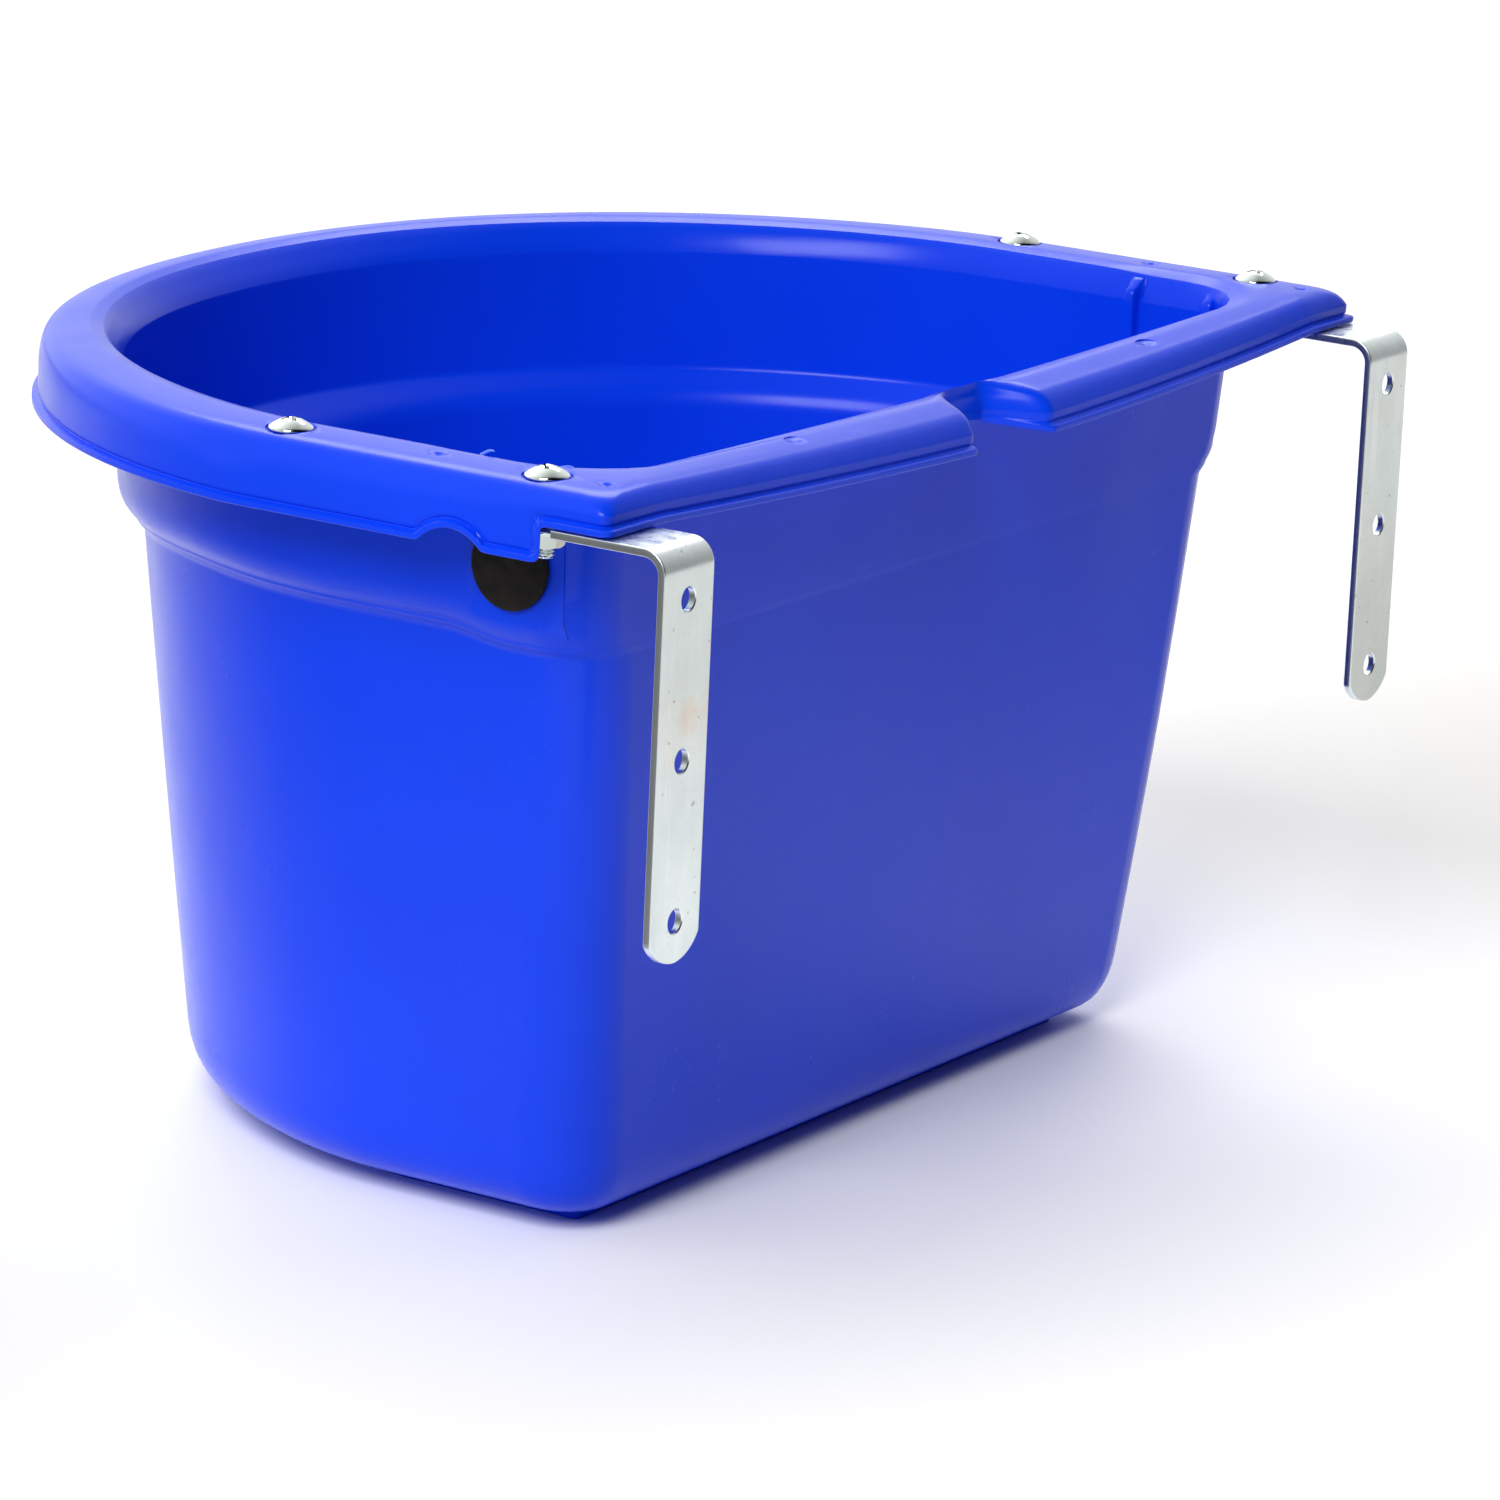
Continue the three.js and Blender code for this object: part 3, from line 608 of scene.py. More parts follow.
def ribs():
    """Upright ribs on the inner faces, with drafted sides and slanted tops that run into the rim."""
    section = [(-3.0, -1.2), (-3.0, 0.0), (-2.3, 0.5), (-1.95, 1.6), (-1.8, 2.7), (-1.4, 3.3), (-0.7, RIB_RISE)]
    section = section + [(-y, rise) for y, rise in reversed(section)]
    stations = [(52.2, 182.0), (47.0, 185.0), (30.0, 185.4), (12.0, 185.8), (7.5, 186.2),
                (6.2, 186.6), (5.4, 187.0), (4.4, 187.5), (3.5, 188.0), (2.7, 188.4)]
    plug_y = (plug_low.y + plug_high.y) / 2 - WIDEST_Y
    parts = []
    for sign in SIDES.values():
        for offset in (-RIB_SPACING / 2, RIB_SPACING / 2):
            rows = []
            for drop, wall_x in stations:
                face = RIB_FACE_X + max(RIB_SLOPE_DROP - drop, 0) * RIB_SLOPE
                ring = []
                for y, height in section:
                    depth = wall_x + 0.8 if height < 0 else wall_x - (wall_x - face) * height / RIB_RISE
                    ring.append((sign * depth, plug_y + offset + y, drop))
                rows.append(to_frame(*np.array(ring).T))
            parts.append(closed_grid(np.array(rows), "rib"))
    return joined("ribs", parts)


def plug_bore():
    turn = Matrix.Rotation(math.pi / 2, 4, "Y")
    y = (plug_low.y + plug_high.y) / 2
    z = (plug_low.z + plug_high.z) / 2
    profile = [(0, 175), (PLUG_HOLE_R, 175), (PLUG_HOLE_R, 186.0), (PLUG_HOLE_R + 0.6, 186.7),
               (PLUG_HOLE_R + 0.6, 196), (0, 196)]
    return lathe("plug_bore", profile, 72, upright(0, y, z) @ turn)


def dimples():
    """Small round sink marks in the rim's top plate."""
    parts = []
    for x, y, depth in DIMPLES:
        for sign in SIDES.values():
            place = to_frame(*bowed(np.array(sign * x), np.array(y), 0.0, 1.0)) / MM
            top = place[2] + 0.05
            profile = [(0, top - depth), (1.0, top - depth * 0.85), (2.0, top - depth * 0.5),
                       (3.0, top - depth * 0.2), (3.8, top - 0.1), (4.6, top + 0.06), (4.6, top + 3), (0, top + 3)]
            parts.append(lathe("dimple", profile, 32, upright(place[0], place[1])))
    return joined("dimples", parts)


def make_tub():
    tub = closed_grid(whole_rings(), "tub_shell")
    for cutter, operation in ((bosses, "UNION"), (ribs, "UNION"), (seats, "DIFFERENCE"),
                              (dimples, "DIFFERENCE"), (plug_bore, "DIFFERENCE")):
        boolean(tub, cutter(), operation)
    finish_shading(tub, 38)
    return tub


# ---- brackets ----
BAR = 2.5
BAR_WIDTH = 25.0
BEND_R = 7.5
RELIEF_WIDTH = 4.8
RELIEF_Y = WIDEST_Y + 68.6
TIP_ARC_R = 14.5
LEG_HOLE_R = 3.5
LEG_HOLE_DROPS = [27.4 + 46.5 * i for i in range(3)]
BAR_EDGE_R = 0.45
LEG_X = bar_high.x - BAR_WIDTH / 2


def bar_stations():
    """(distance, y, z, outward y, outward z, left half-width, right half-width, thickness) along the bar."""
    arm_z = bar_high.z - BAR / 2
    leg_y = bar_high.y - BAR / 2
    bend_y = bar_high.y - BEND_R
    bend_z = bar_high.z - BEND_R
    half = BAR_WIDTH / 2
    relief = half - RELIEF_WIDTH
    out = []
    front = bar_low.y
    for inset, cut, thick in ((0.0, 1.6, 0.8), (0.15, 1.0, 0.93), (0.5, 0.4, 1.0), (1.4, 0.0, 1.0)):
        out.append((front + inset, arm_z, 0, 1, half - cut, relief - cut, thick))
    for y in np.linspace(front + 6, RELIEF_Y - 3, 9):
        out.append((y, arm_z, 0, 1, half, relief, 1.0))
    for share in (0, 0.25, 0.6, 0.85, 1.0):
        out.append((RELIEF_Y - 0.9 + share * 0.9, arm_z, 0, 1, half, relief + RELIEF_WIDTH * share ** 2, 1.0))
    for y in np.linspace(RELIEF_Y + 1.5, bend_y, 5):
        out.append((y, arm_z, 0, 1, half, half, 1.0))
    for turn in np.linspace(0, math.pi / 2, 15)[1:]:
        radius = BEND_R - BAR / 2
        y = bend_y + radius * math.sin(turn)
        z = bend_z + radius * math.cos(turn)
        out.append((y, z, math.sin(turn), math.cos(turn), half, half, 1.0))
    tip = bar_low.z
    shoulder = TIP_ARC_R - math.sqrt(TIP_ARC_R ** 2 - half ** 2)
    for z in np.linspace(bend_z - 2, tip + shoulder + 1, 14):
        out.append((leg_y, z, 1, 0, half, half, 1.0))
    widest = math.asin(half / TIP_ARC_R)
    for turn in np.linspace(widest, 0.035, 16):
        width = TIP_ARC_R * math.sin(turn)
        z = tip + TIP_ARC_R - TIP_ARC_R * math.cos(turn)
        out.append((leg_y, z, 1, 0, width, width, 1.0))
    return out


def bar_section(left, right, thick):
    """Points round the bar's section: across the width, and through the thickness."""
    half = BAR / 2 * thick
    radius = min(BAR_EDGE_R, half * 0.9, max(min(left, right) * 0.8, 0.05))
    ring = []
    for sx, sy, width in ((1, 1, right), (-1, 1, left), (-1, -1, left), (1, -1, right)):
        turns = np.linspace(0, math.pi / 2, 4)
        if sx * sy < 0:
            turns = turns[::-1]
        corner = [(sx * (width - radius + radius * math.cos(t)), sy * (half - radius + radius * math.sin(t)))
                  for t in turns]
        if sy > 0 and sx > 0:
            ring.append((sx * width, 0.0))
        support = (sx * (width - radius * 1.7), sy * half)
        if sx * sy > 0:
            ring.extend(corner + [support])
        else:
            ring.extend([support] + corner)
        if sy > 0 and sx < 0:
            ring.append((sx * width, 0.0))
    return ring


def bracket_holes(sign):
    """Cutters for the three holes of the leg and the two screw holes of the arm, each with eased edges."""
    parts = []
    turn = Matrix.Rotation(-math.pi / 2, 4, "X")
    back = bar_high.y
    for drop in LEG_HOLE_DROPS:
        profile = [(0, back - BAR - 1.0), (LEG_HOLE_R + 0.9, back - BAR - 1.0), (LEG_HOLE_R + 0.35, back - BAR),
                   (LEG_HOLE_R, back - BAR + 0.35), (LEG_HOLE_R, back - 0.35), (LEG_HOLE_R + 0.35, back),
                   (LEG_HOLE_R + 0.9, back + 1.0), (0, back + 1.0)]
        parts.append(lathe("hole", profile, 48, upright(sign * LEG_X, 0, RIM_Z - drop) @ turn))
    for end in ENDS:
        x, y = screw_place("right", end)
        top = bar_high.z
        profile = [(0, top - BAR - 1), (3.9, top - BAR - 1), (3.4, top - BAR + 0.3), (3.4, top - 0.3),
                   (3.9, top + 1), (0, top + 1)]
        parts.append(lathe("arm_hole", profile, 40, upright(sign * x, y)))
    return joined("holes", parts)


def make_bracket(side):
    sign = SIDES[side]
    rows = []
    for y, z, out_y, out_z, left, right, thick in bar_stations():
        section = np.array(bar_section(left, right, thick))
        x = LEG_X + section[:, 0]
        rows.append(np.stack([sign * x, y + out_y * section[:, 1], z + out_z * section[:, 1]], axis=-1) * MM)
    bar = closed_grid(np.array(rows), f"{side}_bracket_bar")
    boolean(bar, bracket_holes(sign), "DIFFERENCE")
    finish_shading(bar, 40)
    return bar


# ---- fasteners ----
HEAD_R = 6.6
HEAD_DOME = 3.1
THREAD_REACH = 1.5  # the thread beyond the end of the screw's core
SCREW_R = 3.0
THREAD_DEPTH = 0.55
THREAD_PITCH = 1.0
NUT_CORNER = 5.75  # from the axis to a corner
FLANGE = 1.3  # the flange's thickness


def cross_recess(x, y, turn):
    """Tapered cross-shaped cutter with its four wings and a conical middle."""
    parts = []
    top = RIM_Z + HEAD_DOME + 0.6
    bottom = RIM_Z - 0.2
    for quarter in (0, 1):
        ring = []
        for z, length, width in ((bottom, 1.0, 0.5), (RIM_Z + 1.4, 2.5, 0.62), (top, 3.9, 0.85)):
            ring.append([(length, width, z), (-length, width, z), (-length, -width, z), (length, -width, z)])
        body = closed_grid(np.array(ring) * MM, "wing")
        body.data.transform(upright(x, y) @ Matrix.Rotation(turn + quarter * math.pi / 2, 4, "Z"))
        parts.append(body)
    parts.append(lathe("cone", [(0, bottom - 0.3), (0.9, bottom), (2.0, top), (0, top)], 24, upright(x, y)))
    first = parts.pop()
    for part in parts:
        boolean(first, part, "UNION")
    return first


def make_screw(side, end, turn):
    """Machine screw with a helical thread and a domed head, turned by its own angle."""
    x, y = screw_place(side, end)
    low, _ = frame_box(f"{side}_{end}_screw")
    rows = []
    turns = np.linspace(0, 2 * math.pi, 36, endpoint=False)
    across, along = np.cos(turns), np.sin(turns)

    def ring(radius, z):
        rows.append(np.stack([x + radius * across, y + radius * along, z + 0 * turns], axis=-1) * MM)

    thread_top = bar_high.z - 1.0
    thread_end = low.z - THREAD_REACH
    steps = int((thread_top - thread_end) / (THREAD_PITCH / 8))
    for z in np.linspace(thread_end, thread_top, steps):
        phase = ((z - thread_end) / THREAD_PITCH + turns / (2 * math.pi)) % 1.0
        flank = 1 - np.abs(2 * phase - 1)
        start = np.clip((z - thread_end) / 0.8, 0, 1)
        radius = SCREW_R - 0.03 - THREAD_DEPTH + THREAD_DEPTH * np.clip(flank * 1.25, 0, 1)
        ring(radius * (0.8 + 0.2 * start), z)
    seat = RIM_Z - SEAT_DEPTH + 0.3
    for radius, z in ((SCREW_R, thread_top + 0.6), (SCREW_R, seat - 0.3),
                      (SCREW_R + 0.2, seat), (HEAD_R - 0.3, seat)):
        ring(radius, z)
    # The head: a rounded rim, then a full dome.
    base = RIM_Z - 0.25
    for radius, z in ((HEAD_R - 0.08, seat + 0.1), (HEAD_R, seat + 0.3),
                      (HEAD_R, base), (HEAD_R - 0.1, base + 0.25)):
        ring(radius, z)
    for share in np.linspace(0.965, 0.04, 16):
        ring(HEAD_R * share, base + 0.28 + (HEAD_DOME - 0.28) * (1 - share ** 1.9))
    screw = closed_grid(np.array(rows), f"{side}_{end}_screw_body")
    boolean(screw, cross_recess(x, y, turn), "DIFFERENCE")
    finish_shading(screw, 40)
    return screw


def make_nut(side, end, turn):
    """Flange nut: a hexagon with chamfered corners under a round flange, and a bore for the thread."""
    x, y = screw_place(side, end)
    low, high = frame_box(f"{side}_{end}_nut")
    flange_r = (high.x - low.x) / 2
    across = NUT_CORNER * math.cos(math.pi / 6)
    nut = lathe(f"{side}_{end}_nut_body", [
        (0, low.z), (NUT_CORNER, low.z), (NUT_CORNER, high.z - FLANGE), (0, high.z - FLANGE),
    ], 6, upright(x, y) @ Matrix.Rotation(turn, 4, "Z"))
    turned = lathe("turned", [
        (0, low.z - 1), (across - 0.5, low.z - 1), (across - 0.5, low.z), (NUT_CORNER + 0.1, low.z + 0.8),
        (NUT_CORNER + 0.1, high.z + 1), (0, high.z + 1),
    ], 48, upright(x, y))
    boolean(nut, turned, "INTERSECT")
    flange = lathe("flange", [
        (0, high.z - FLANGE - 1.2), (across - 0.2, high.z - FLANGE - 0.9), (flange_r - 0.9, high.z - FLANGE + 0.1),
        (flange_r - 0.15, high.z - FLANGE + 0.35), (flange_r, high.z - FLANGE + 0.55), (flange_r, high.z - 0.2),
        (flange_r - 0.2, high.z), (0, high.z),
    ], 56, upright(x, y))
    boolean(nut, flange, "UNION")
    bore = lathe("bore", [
        (0, low.z - 1), (3.9, low.z - 1), (3.15, low.z + 0.4),
        (3.15, high.z - 0.4), (3.9, high.z + 1), (0, high.z + 1),
    ], 36, upright(x, y))
    boolean(nut, bore, "DIFFERENCE")
    finish_shading(nut, 25)
    return nut


# ---- plug ----
def make_plug():
    """Rubber plug with a rounded head, a raised ring on its face, and a hollow barbed stem."""
    y = (plug_low.y + plug_high.y) / 2
    z = (plug_low.z + plug_high.z) / 2
    face = plug_high.x
    back = plug_low.x
    head = 2.4
    radius = (plug_high.z - plug_low.z) / 2
    stem = 10.2
    base = face - head
    profile = [
        (0, base - 0.2), (stem - 2.8, base - 0.2), (stem - 2.9, back + 0.6), (stem - 2.5, back + 0.1),
        (stem - 1.6, back), (stem - 0.7, back + 0.4), (stem - 0.1, back + 1.6), (stem - 0.05, back + 2.4),
        (stem - 0.5, back + 3.2), (stem - 0.35, base), (radius - 0.5, base), (radius - 0.12, base + 0.2),
        (radius, base + 0.6), (radius, face - 0.95), (radius - 0.15, face - 0.5), (radius - 0.55, face - 0.15),
        (radius - 1.0, face - 0.04), (radius - 2.0, face), (5.0, face - 0.1), (1.5, face - 0.12),
        (1.1, face - 0.2), (0.7, face - 0.4), (0, face - 0.42),
    ]
    turn = Matrix.Rotation(math.pi / 2, 4, "Y")
    plug = lathe("rubber_plug", profile, 96, upright(0, y, z) @ turn)
    finish_shading(plug, 50)
    return plug


# ---- flash left on the rim by the mould ----
def make_flash():
    """Two thin curled slivers of flash on the rim's inner edge, beside the plug."""
    slivers = []
    for start, along, rise, curl, wide in (
        ((190.6, 26.3), 4.2, 1.7, 1.3, 0.5),
        ((190.2, 52.0), 5.5, 1.2, 1.2, 0.35),
    ):
        rows = []
        for share in np.linspace(0, 1, 12):
            y = start[1] + along * share
            x = start[0] - curl * math.sin(share * math.pi * 0.6)
            drop = 1.25 - rise * math.sin(share * math.pi * 0.62)
            width = wide * (1 - share) ** 0.4 + 0.08
            turns = np.linspace(0, 2 * math.pi, 8, endpoint=False)
            rows.append(to_frame(x + 0.16 * np.cos(turns), y + 0 * turns, drop + width * np.sin(turns)))
        slivers.append(closed_grid(np.array(rows), "sliver"))
    flash = joined("rim_flash", slivers)
    finish_shading(flash, 60)
    return flash


# ---- materials ----
STAIN_INSET = 2.0  # a warm stain on the right bracket's leg, from its middle line
STAIN_DROP = 61.0


class Tree:
    """A node tree, with the few kinds of node that the looks are made of."""

    def __init__(self, tree):
        self.nodes = tree.nodes
        self.link = tree.links.new

    def node(self, kind, operation=None):
        made = self.nodes.new("ShaderNode" + kind)
        if operation:
            made.operation = operation
        return made

    def noise(self, scale, detail=3.0, rough=0.5, stretch=None):
        """A noise pattern fixed to the object, in its own metres."""
        source = self.node("TexCoord").outputs["Object"]
        if stretch:
            mapping = self.node("Mapping")
            mapping.inputs["Scale"].default_value = stretch
            self.link(source, mapping.inputs["Vector"])
            source = mapping.outputs["Vector"]
        made = self.node("TexNoise")
        made.inputs["Scale"].default_value = scale
        made.inputs["Detail"].default_value = detail
        made.inputs["Roughness"].default_value = rough
        self.link(source, made.inputs["Vector"])
        return made.outputs["Fac"]

    def remap(self, value, low, high, to_low, to_high):
        made = self.node("MapRange")
        for name, bound in (("From Min", low), ("From Max", high), ("To Min", to_low), ("To Max", to_high)):
            made.inputs[name].default_value = bound
        self.link(value, made.inputs["Value"])
        return made.outputs["Result"]

    def spread(self, centre, low, high):
        """Zero close to a place, in metres, and one beyond, with a soft change between two distances."""
        away = self.node("VectorMath", "DISTANCE")
        away.inputs[1].default_value = centre
        self.link(self.node("TexCoord").outputs["Object"], away.inputs[0])
        return self.remap(away.outputs["Value"], low, high, 0, 1)

    def mixed(self, share, first, second):
        made = self.node("Mix")
        made.data_type = "RGBA"
        self.link(share, made.inputs["Factor"])
        for socket, colour in (("A", first), ("B", second)):
            target = [i for i in made.inputs if i.name == socket and i.type == "RGBA"][0]
            if isinstance(colour, tuple):
                target.default_value = (*colour, 1)
            else:
                self.link(colour, target)
        return [o for o in made.outputs if o.type == "RGBA"][0]

    def bumped(self, height, strength, distance, normal=None):
        made = self.node("Bump")
        made.inputs["Strength"].default_value = strength
        made.inputs["Distance"].default_value = distance
        self.link(height, made.inputs["Height"])
        if normal is not None:
            self.link(normal, made.inputs["Normal"])
        return made.outputs["Normal"]


def new_material(name):
    material = bpy.data.materials.new(name)
    material.use_nodes = True
    return material, Tree(material.node_tree), material.node_tree.nodes["Principled BSDF"].inputs


def blue_plastic():
    """Moulded polyethylene: satin gloss, faint mottling, very fine grain and a slow waviness."""
    material, tree, shader = new_material("blue_plastic")
    cloud = tree.remap(tree.noise(9, 3), 0.35, 0.65, 0, 1)
    colour = tree.mixed(cloud, (0.0012, 0.042, 0.70), (0.0020, 0.047, 0.75))
    tree.link(colour, shader["Base Color"])
    rough = tree.remap(tree.noise(35, 4, 0.6), 0.3, 0.7, 0.21, 0.28)
    tree.link(rough, shader["Roughness"])
    shader["IOR"].default_value = 1.28
    grain = tree.noise(1400, 2)
    waves = tree.noise(22, 2)
    normal = tree.bumped(waves, 0.25, 0.002)
    normal = tree.bumped(grain, 0.12, 0.0001, normal)
    tree.link(normal, shader["Normal"])
    return material


def zinc(name, tone, dark, rough_low, rough_high, streak, stain=None, painted_side_shade=False):
    """Zinc plating over rolled steel: faint lines along the roll, cloudy patches and small pits.

    A stain is a warm, patchy spot at a place. The painted side shade darkens the sides that face along x, standing
    in for the dark reflection they show.
    """
    material, tree, shader = new_material(name)
    lines = tree.noise(260, 3, 0.6, streak)
    clouds = tree.noise(45, 4, 0.6)
    colour = tree.mixed(tree.remap(clouds, 0.35, 0.7, 0, 1), tone, dark)
    warm = tree.remap(tree.noise(28, 2), 0.62, 0.74, 0, 0.55)
    colour = tree.mixed(warm, colour, (0.80, 0.74, 0.66))
    if stain:
        spot = tree.node("Math", "SUBTRACT")
        tree.link(tree.noise(300, 3), spot.inputs[0])
        tree.link(tree.spread(stain, 0.001, 0.009), spot.inputs[1])
        stained = tree.remap(spot.outputs["Value"], -0.2, 0.3, 0, 0.75)
        colour = tree.mixed(stained, colour, (0.80, 0.70, 0.62))
    # Painted shade: sides whose normals face along x get a darker colour, standing in for the dark reflection seen
    # on them.
    if painted_side_shade:
        facing = tree.node("NewGeometry")
        across = tree.node("SeparateXYZ")
        size = tree.node("Math", "ABSOLUTE")
        tree.link(facing.outputs["Normal"], across.inputs[0])
        tree.link(across.outputs["X"], size.inputs[0])
        edge = tree.remap(size.outputs["Value"], 0.8, 0.97, 0, 0.9)
        colour = tree.mixed(edge, colour, (0.24, 0.25, 0.25))
    pits = tree.remap(tree.noise(420, 1), 0.74, 0.78, 0, 0.6)
    colour = tree.mixed(pits, colour, (0.30, 0.29, 0.25))
    tree.link(colour, shader["Base Color"])
    shader["Metallic"].default_value = 1.0
    tree.link(tree.remap(lines, 0.3, 0.7, rough_low, rough_high), shader["Roughness"])
    normal = tree.bumped(lines, 0.08, 0.0001)
    normal = tree.bumped(clouds, 0.1, 0.0006, normal)
    tree.link(normal, shader["Normal"])
    return material


def black_rubber():
    """Dull black rubber with faint brownish patches."""
    material, tree, shader = new_material("black_rubber")
    patches = tree.remap(tree.noise(160, 4), 0.35, 0.7, 0, 1)
    colour = tree.mixed(patches, (0.006, 0.005, 0.004), (0.013, 0.010, 0.008))
    tree.link(colour, shader["Base Color"])
    tree.link(tree.remap(tree.noise(300, 3), 0.3, 0.7, 0.62, 0.8), shader["Roughness"])
    shader["IOR"].default_value = 1.25
    tree.link(tree.bumped(tree.noise(2200, 2), 0.25, 0.00012), shader["Normal"])
    return material


def pale_flash():
    material, tree, shader = new_material("pale_flash")
    tint = tree.remap(tree.noise(500, 2), 0.3, 0.7, 0, 1)
    tree.link(tree.mixed(tint, (0.10, 0.22, 0.85), (0.16, 0.30, 0.90)), shader["Base Color"])
    shader["Roughness"].default_value = 0.35
    return material


def dress(made, material, slot, body, *nodes):
    """Give a piece its material, and say which body it rides on and which nodes it replaces."""
    made.data.materials.clear()
    made.data.materials.append(material)
    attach(made, body)
    if nodes:
        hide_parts(*nodes)


def build_object():
    blue = blue_plastic()
    stain = Vector((LEG_X - STAIN_INSET, bar_high.y, RIM_Z - STAIN_DROP)) * MM
    # The plate's last argument turns on painted shade on the bars' sides.
    plate = zinc("zinc_plate", (0.82, 0.88, 0.88), (0.73, 0.80, 0.81), 0.24, 0.38, (1.0, 1.0, 0.06), stain, True)
    bright = zinc("bright_zinc", (0.80, 0.87, 0.83), (0.62, 0.68, 0.64), 0.08, 0.16, (1.0, 1.0, 1.0))
    dress(make_tub(), blue, "blue_plastic", "bucket", "tub")
    dress(make_flash(), pale_flash(), "blue_plastic", "bucket")
    turns = random.Random(7)
    for side in SIDES:
        dress(make_bracket(side), plate, "zinc_plate", "bucket", f"{side}_bracket")
        for end in ENDS:
            screw = make_screw(side, end, turns.uniform(0, math.pi / 2))
            dress(screw, bright, "bright_zinc", "bucket", f"{side}_{end}_screw")
            nut = make_nut(side, end, turns.uniform(0, math.pi / 3))
            dress(nut, bright, "bright_zinc", "bucket", f"{side}_{end}_nut")
    dress(make_plug(), black_rubber(), "black_rubber", "plug", "hole_plug")


# ---- camera ----
CAMERA_AZIMUTH = math.radians(122.486)
CAMERA_ELEVATION = math.radians(14.483)
CAMERA_ROLL = math.radians(2.608)
CAMERA_DISTANCE = 2.3176
CAMERA_LENS = 179.26
CAMERA_SENSOR = 36
CAMERA_SHIFT_Y = -0.004
TARGET = Vector((0, WIDEST_Y, RIM_Z - 127.2)) * MM
RIGHTWARDS = Vector((math.cos(CAMERA_AZIMUTH), math.sin(CAMERA_AZIMUTH), 0))
NEARER = Vector((math.sin(CAMERA_AZIMUTH), -math.cos(CAMERA_AZIMUTH), 0))


def make_camera():
    back = NEARER * math.cos(CAMERA_ELEVATION) + Vector((0, 0, math.sin(CAMERA_ELEVATION)))
    up = back.cross(RIGHTWARDS)
    turned_right = RIGHTWARDS * math.cos(CAMERA_ROLL) + up * math.sin(CAMERA_ROLL)
    turned_up = up * math.cos(CAMERA_ROLL) - RIGHTWARDS * math.sin(CAMERA_ROLL)
    camera = bpy.data.objects.new("camera", bpy.data.cameras.new("camera"))
    bpy.context.scene.collection.objects.link(camera)
    rotation = Matrix((turned_right, turned_up, back)).transposed()
    camera.matrix_world = Matrix.Translation(TARGET + back * CAMERA_DISTANCE) @ rotation.to_4x4()
    camera.data.lens = CAMERA_LENS
    camera.data.sensor_width = CAMERA_SENSOR
    camera.data.shift_y = CAMERA_SHIFT_Y
    bpy.context.scene.camera = camera


# ---- stage and light ----
STAGE_HALF = 9.0
# Painted shade: the floor beyond the pale patch is grey, standing in for the dim room that the bucket's faces
# reflect.
PAINTED_ROOM_SHADE = (0.50, 0.50, 0.51)
# Tint, middle of its patch, and the distances from there where it starts to fade and where it has gone.
FLOOR_TINTS_AND_PAINTED_SHADE = (
    ((0.97, 0.965, 0.955), (-1.4, -0.9, 0), 2.1, 2.8),  # pale, round the bucket and behind it
    # Painted shadow: a warm darker patch on the floor behind the bucket on the right, which also dims what the
    # back wall reflects.
    ((0.54, 0.51, 0.46), (-0.66, 0.40, 0), 0.10, 0.52),  # warm, behind it on the right
    # Painted shade: a dim patch on the floor on the left, so that the side wall and the brackets reflect a dark
    # room there.
    ((0.26, 0.26, 0.27), (1.20, -0.72, 0), 0.86, 1.20),  # dim, on the left
)
# Direction and strength of the glow of the surroundings: behind the bucket, and on its left.
GLOWS = (((-0.82, -0.52, 0.25), 0.92), ((0.36, -0.94, 0.29), 0.90))
FRONT_BOX = dict(sideways=-0.85, nearer=2.4, height=2.0, size=(1.6, 1.6), energy=92)
BACKDROP_BOX = dict(sideways=0.0, nearer=-2.9, height=2.7, size=(2.6, 1.4), energy=54)
BACKDROP_AIM = 1.6  # the spot on the floor behind the bucket that the second box lights


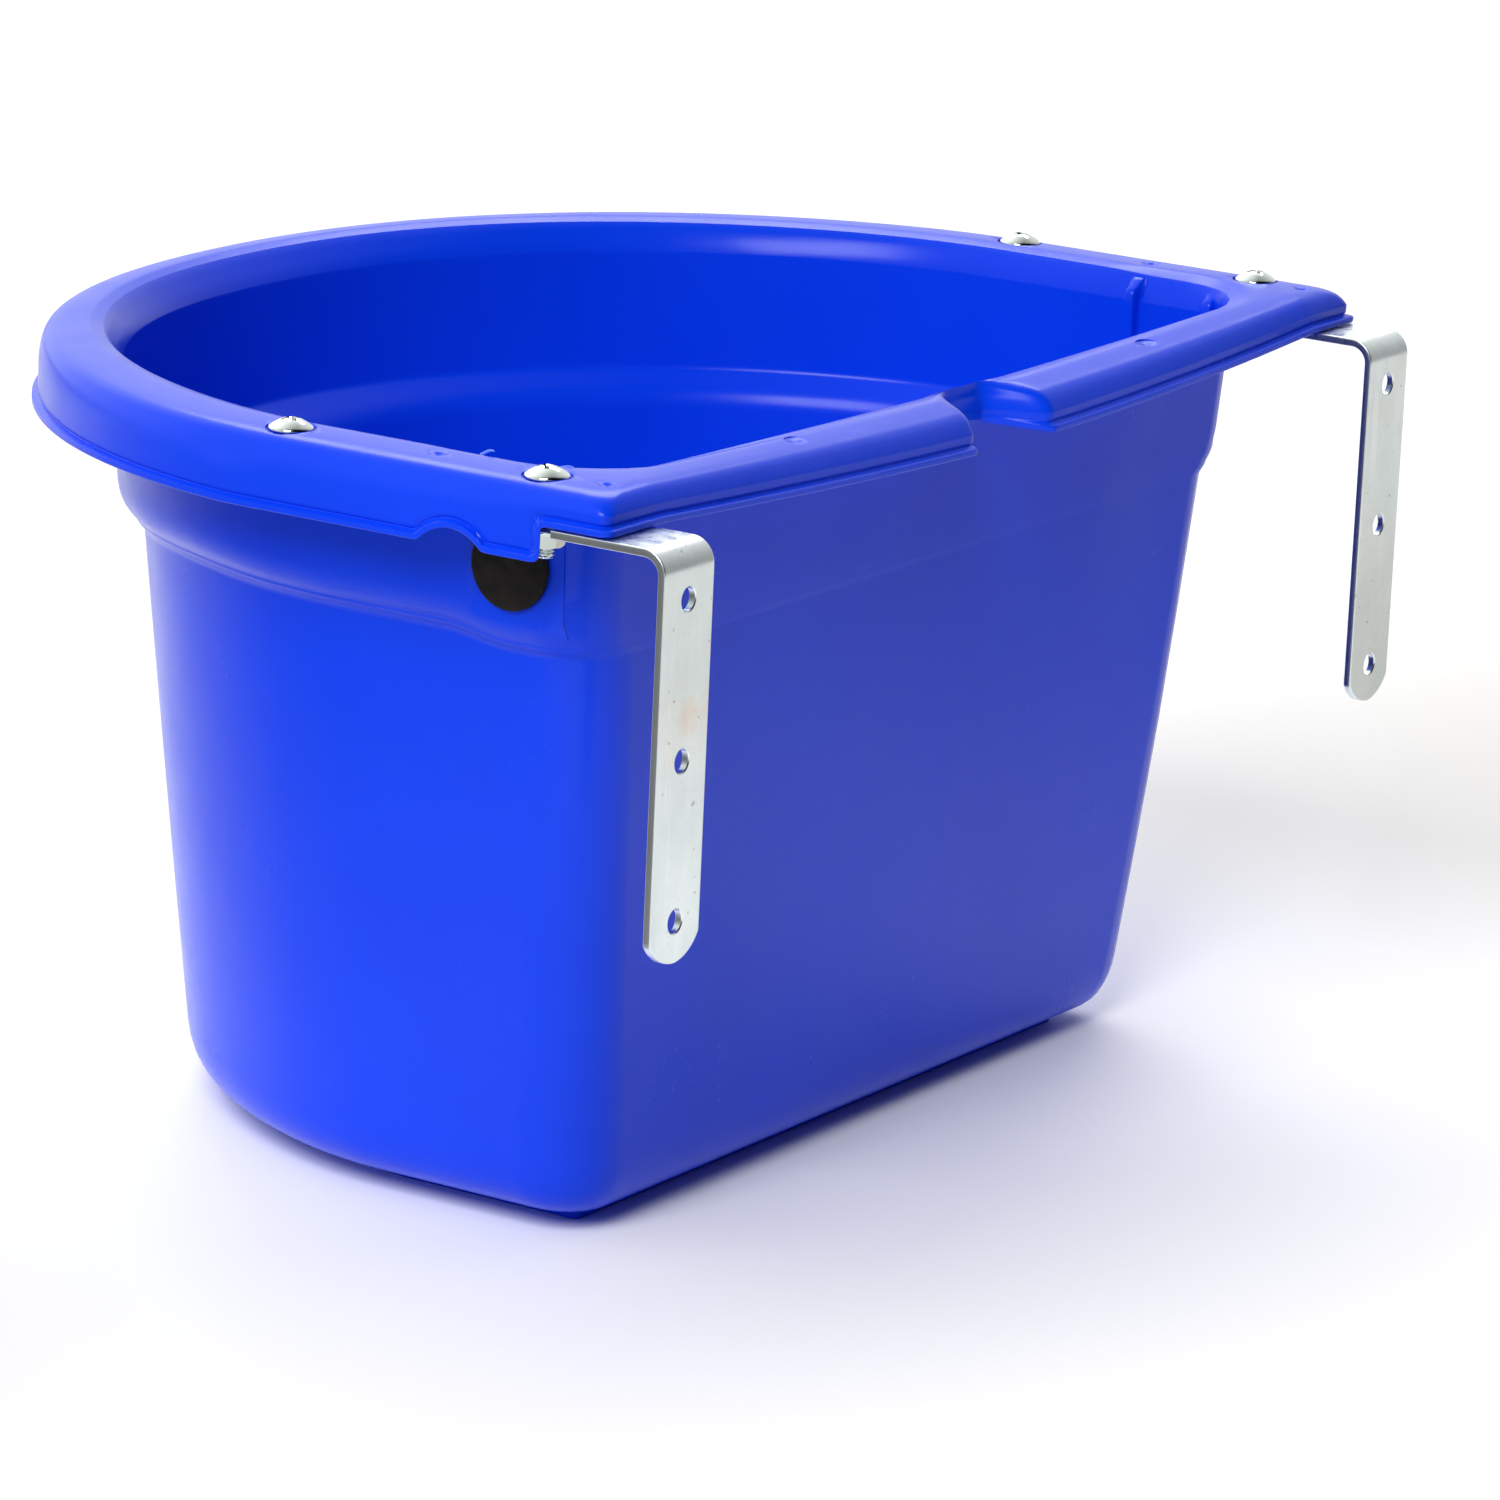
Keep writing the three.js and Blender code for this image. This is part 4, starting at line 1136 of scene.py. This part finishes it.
def area_light(name, aim, sideways, nearer, height, size, energy):
    """A soft box placed from the target: metres to the right, towards the viewer, and up."""
    light = bpy.data.lights.new(name, "AREA")
    light.shape = "RECTANGLE"
    light.size, light.size_y = size
    light.energy = energy
    made = bpy.data.objects.new(name, light)
    bpy.context.scene.collection.objects.link(made)
    place = TARGET + RIGHTWARDS * sideways + NEARER * nearer + Vector((0, 0, height))
    turned = (aim - place).to_track_quat("-Z", "Y").to_matrix().to_4x4()
    made.matrix_world = Matrix.Translation(place) @ turned


def make_stage():
    """A wide pale floor, palest round the bucket and behind it; further out it carries painted shade: a warm
    painted shadow behind on the right, a dim patch on the left and grey beyond, standing in for a dim room in
    reflections.
    """
    corners = [(-STAGE_HALF, -STAGE_HALF, 0), (STAGE_HALF, -STAGE_HALF, 0),
               (STAGE_HALF, STAGE_HALF, 0), (-STAGE_HALF, STAGE_HALF, 0)]
    floor = mesh_object("floor", corners, [(0, 1, 2, 3)])
    material, tree, shader = new_material("pale_floor")
    colour = PAINTED_ROOM_SHADE
    for tint, centre, low, high in FLOOR_TINTS_AND_PAINTED_SHADE:
        colour = tree.mixed(tree.spread(centre, low, high), tint, colour)
    tree.link(colour, shader["Base Color"])
    shader["Roughness"].default_value = 0.75
    floor.data.materials.append(material)


def make_world():
    """Soft studio surroundings: a bright sweep behind the bucket and on its left, and a dim room in front."""
    world = bpy.data.worlds.new("studio")
    bpy.context.scene.world = world
    world.use_nodes = True
    tree = Tree(world.node_tree)
    place = tree.node("TexCoord")
    both = tree.node("Math", "ADD")
    for socket, (towards, strength) in enumerate(GLOWS):
        facing = tree.node("VectorMath", "DOT_PRODUCT")
        facing.inputs[1].default_value = Vector(towards).normalized()
        tree.link(place.outputs["Generated"], facing.inputs[0])
        tree.link(tree.remap(facing.outputs["Value"], 0.1, 0.9, 0.0, strength), both.inputs[socket])
    background = world.node_tree.nodes["Background"].inputs
    tree.link(both.outputs["Value"], background["Strength"])
    background["Color"].default_value = (1, 1, 1, 1)


def make_light():
    bpy.context.scene.view_settings.view_transform = "Standard"
    make_world()
    area_light("front_softbox", TARGET, **FRONT_BOX)
    behind = TARGET - NEARER * BACKDROP_AIM
    area_light("backdrop_softbox", Vector((behind.x, behind.y, 0)), **BACKDROP_BOX)


build_object()
make_stage()
make_light()
make_camera()
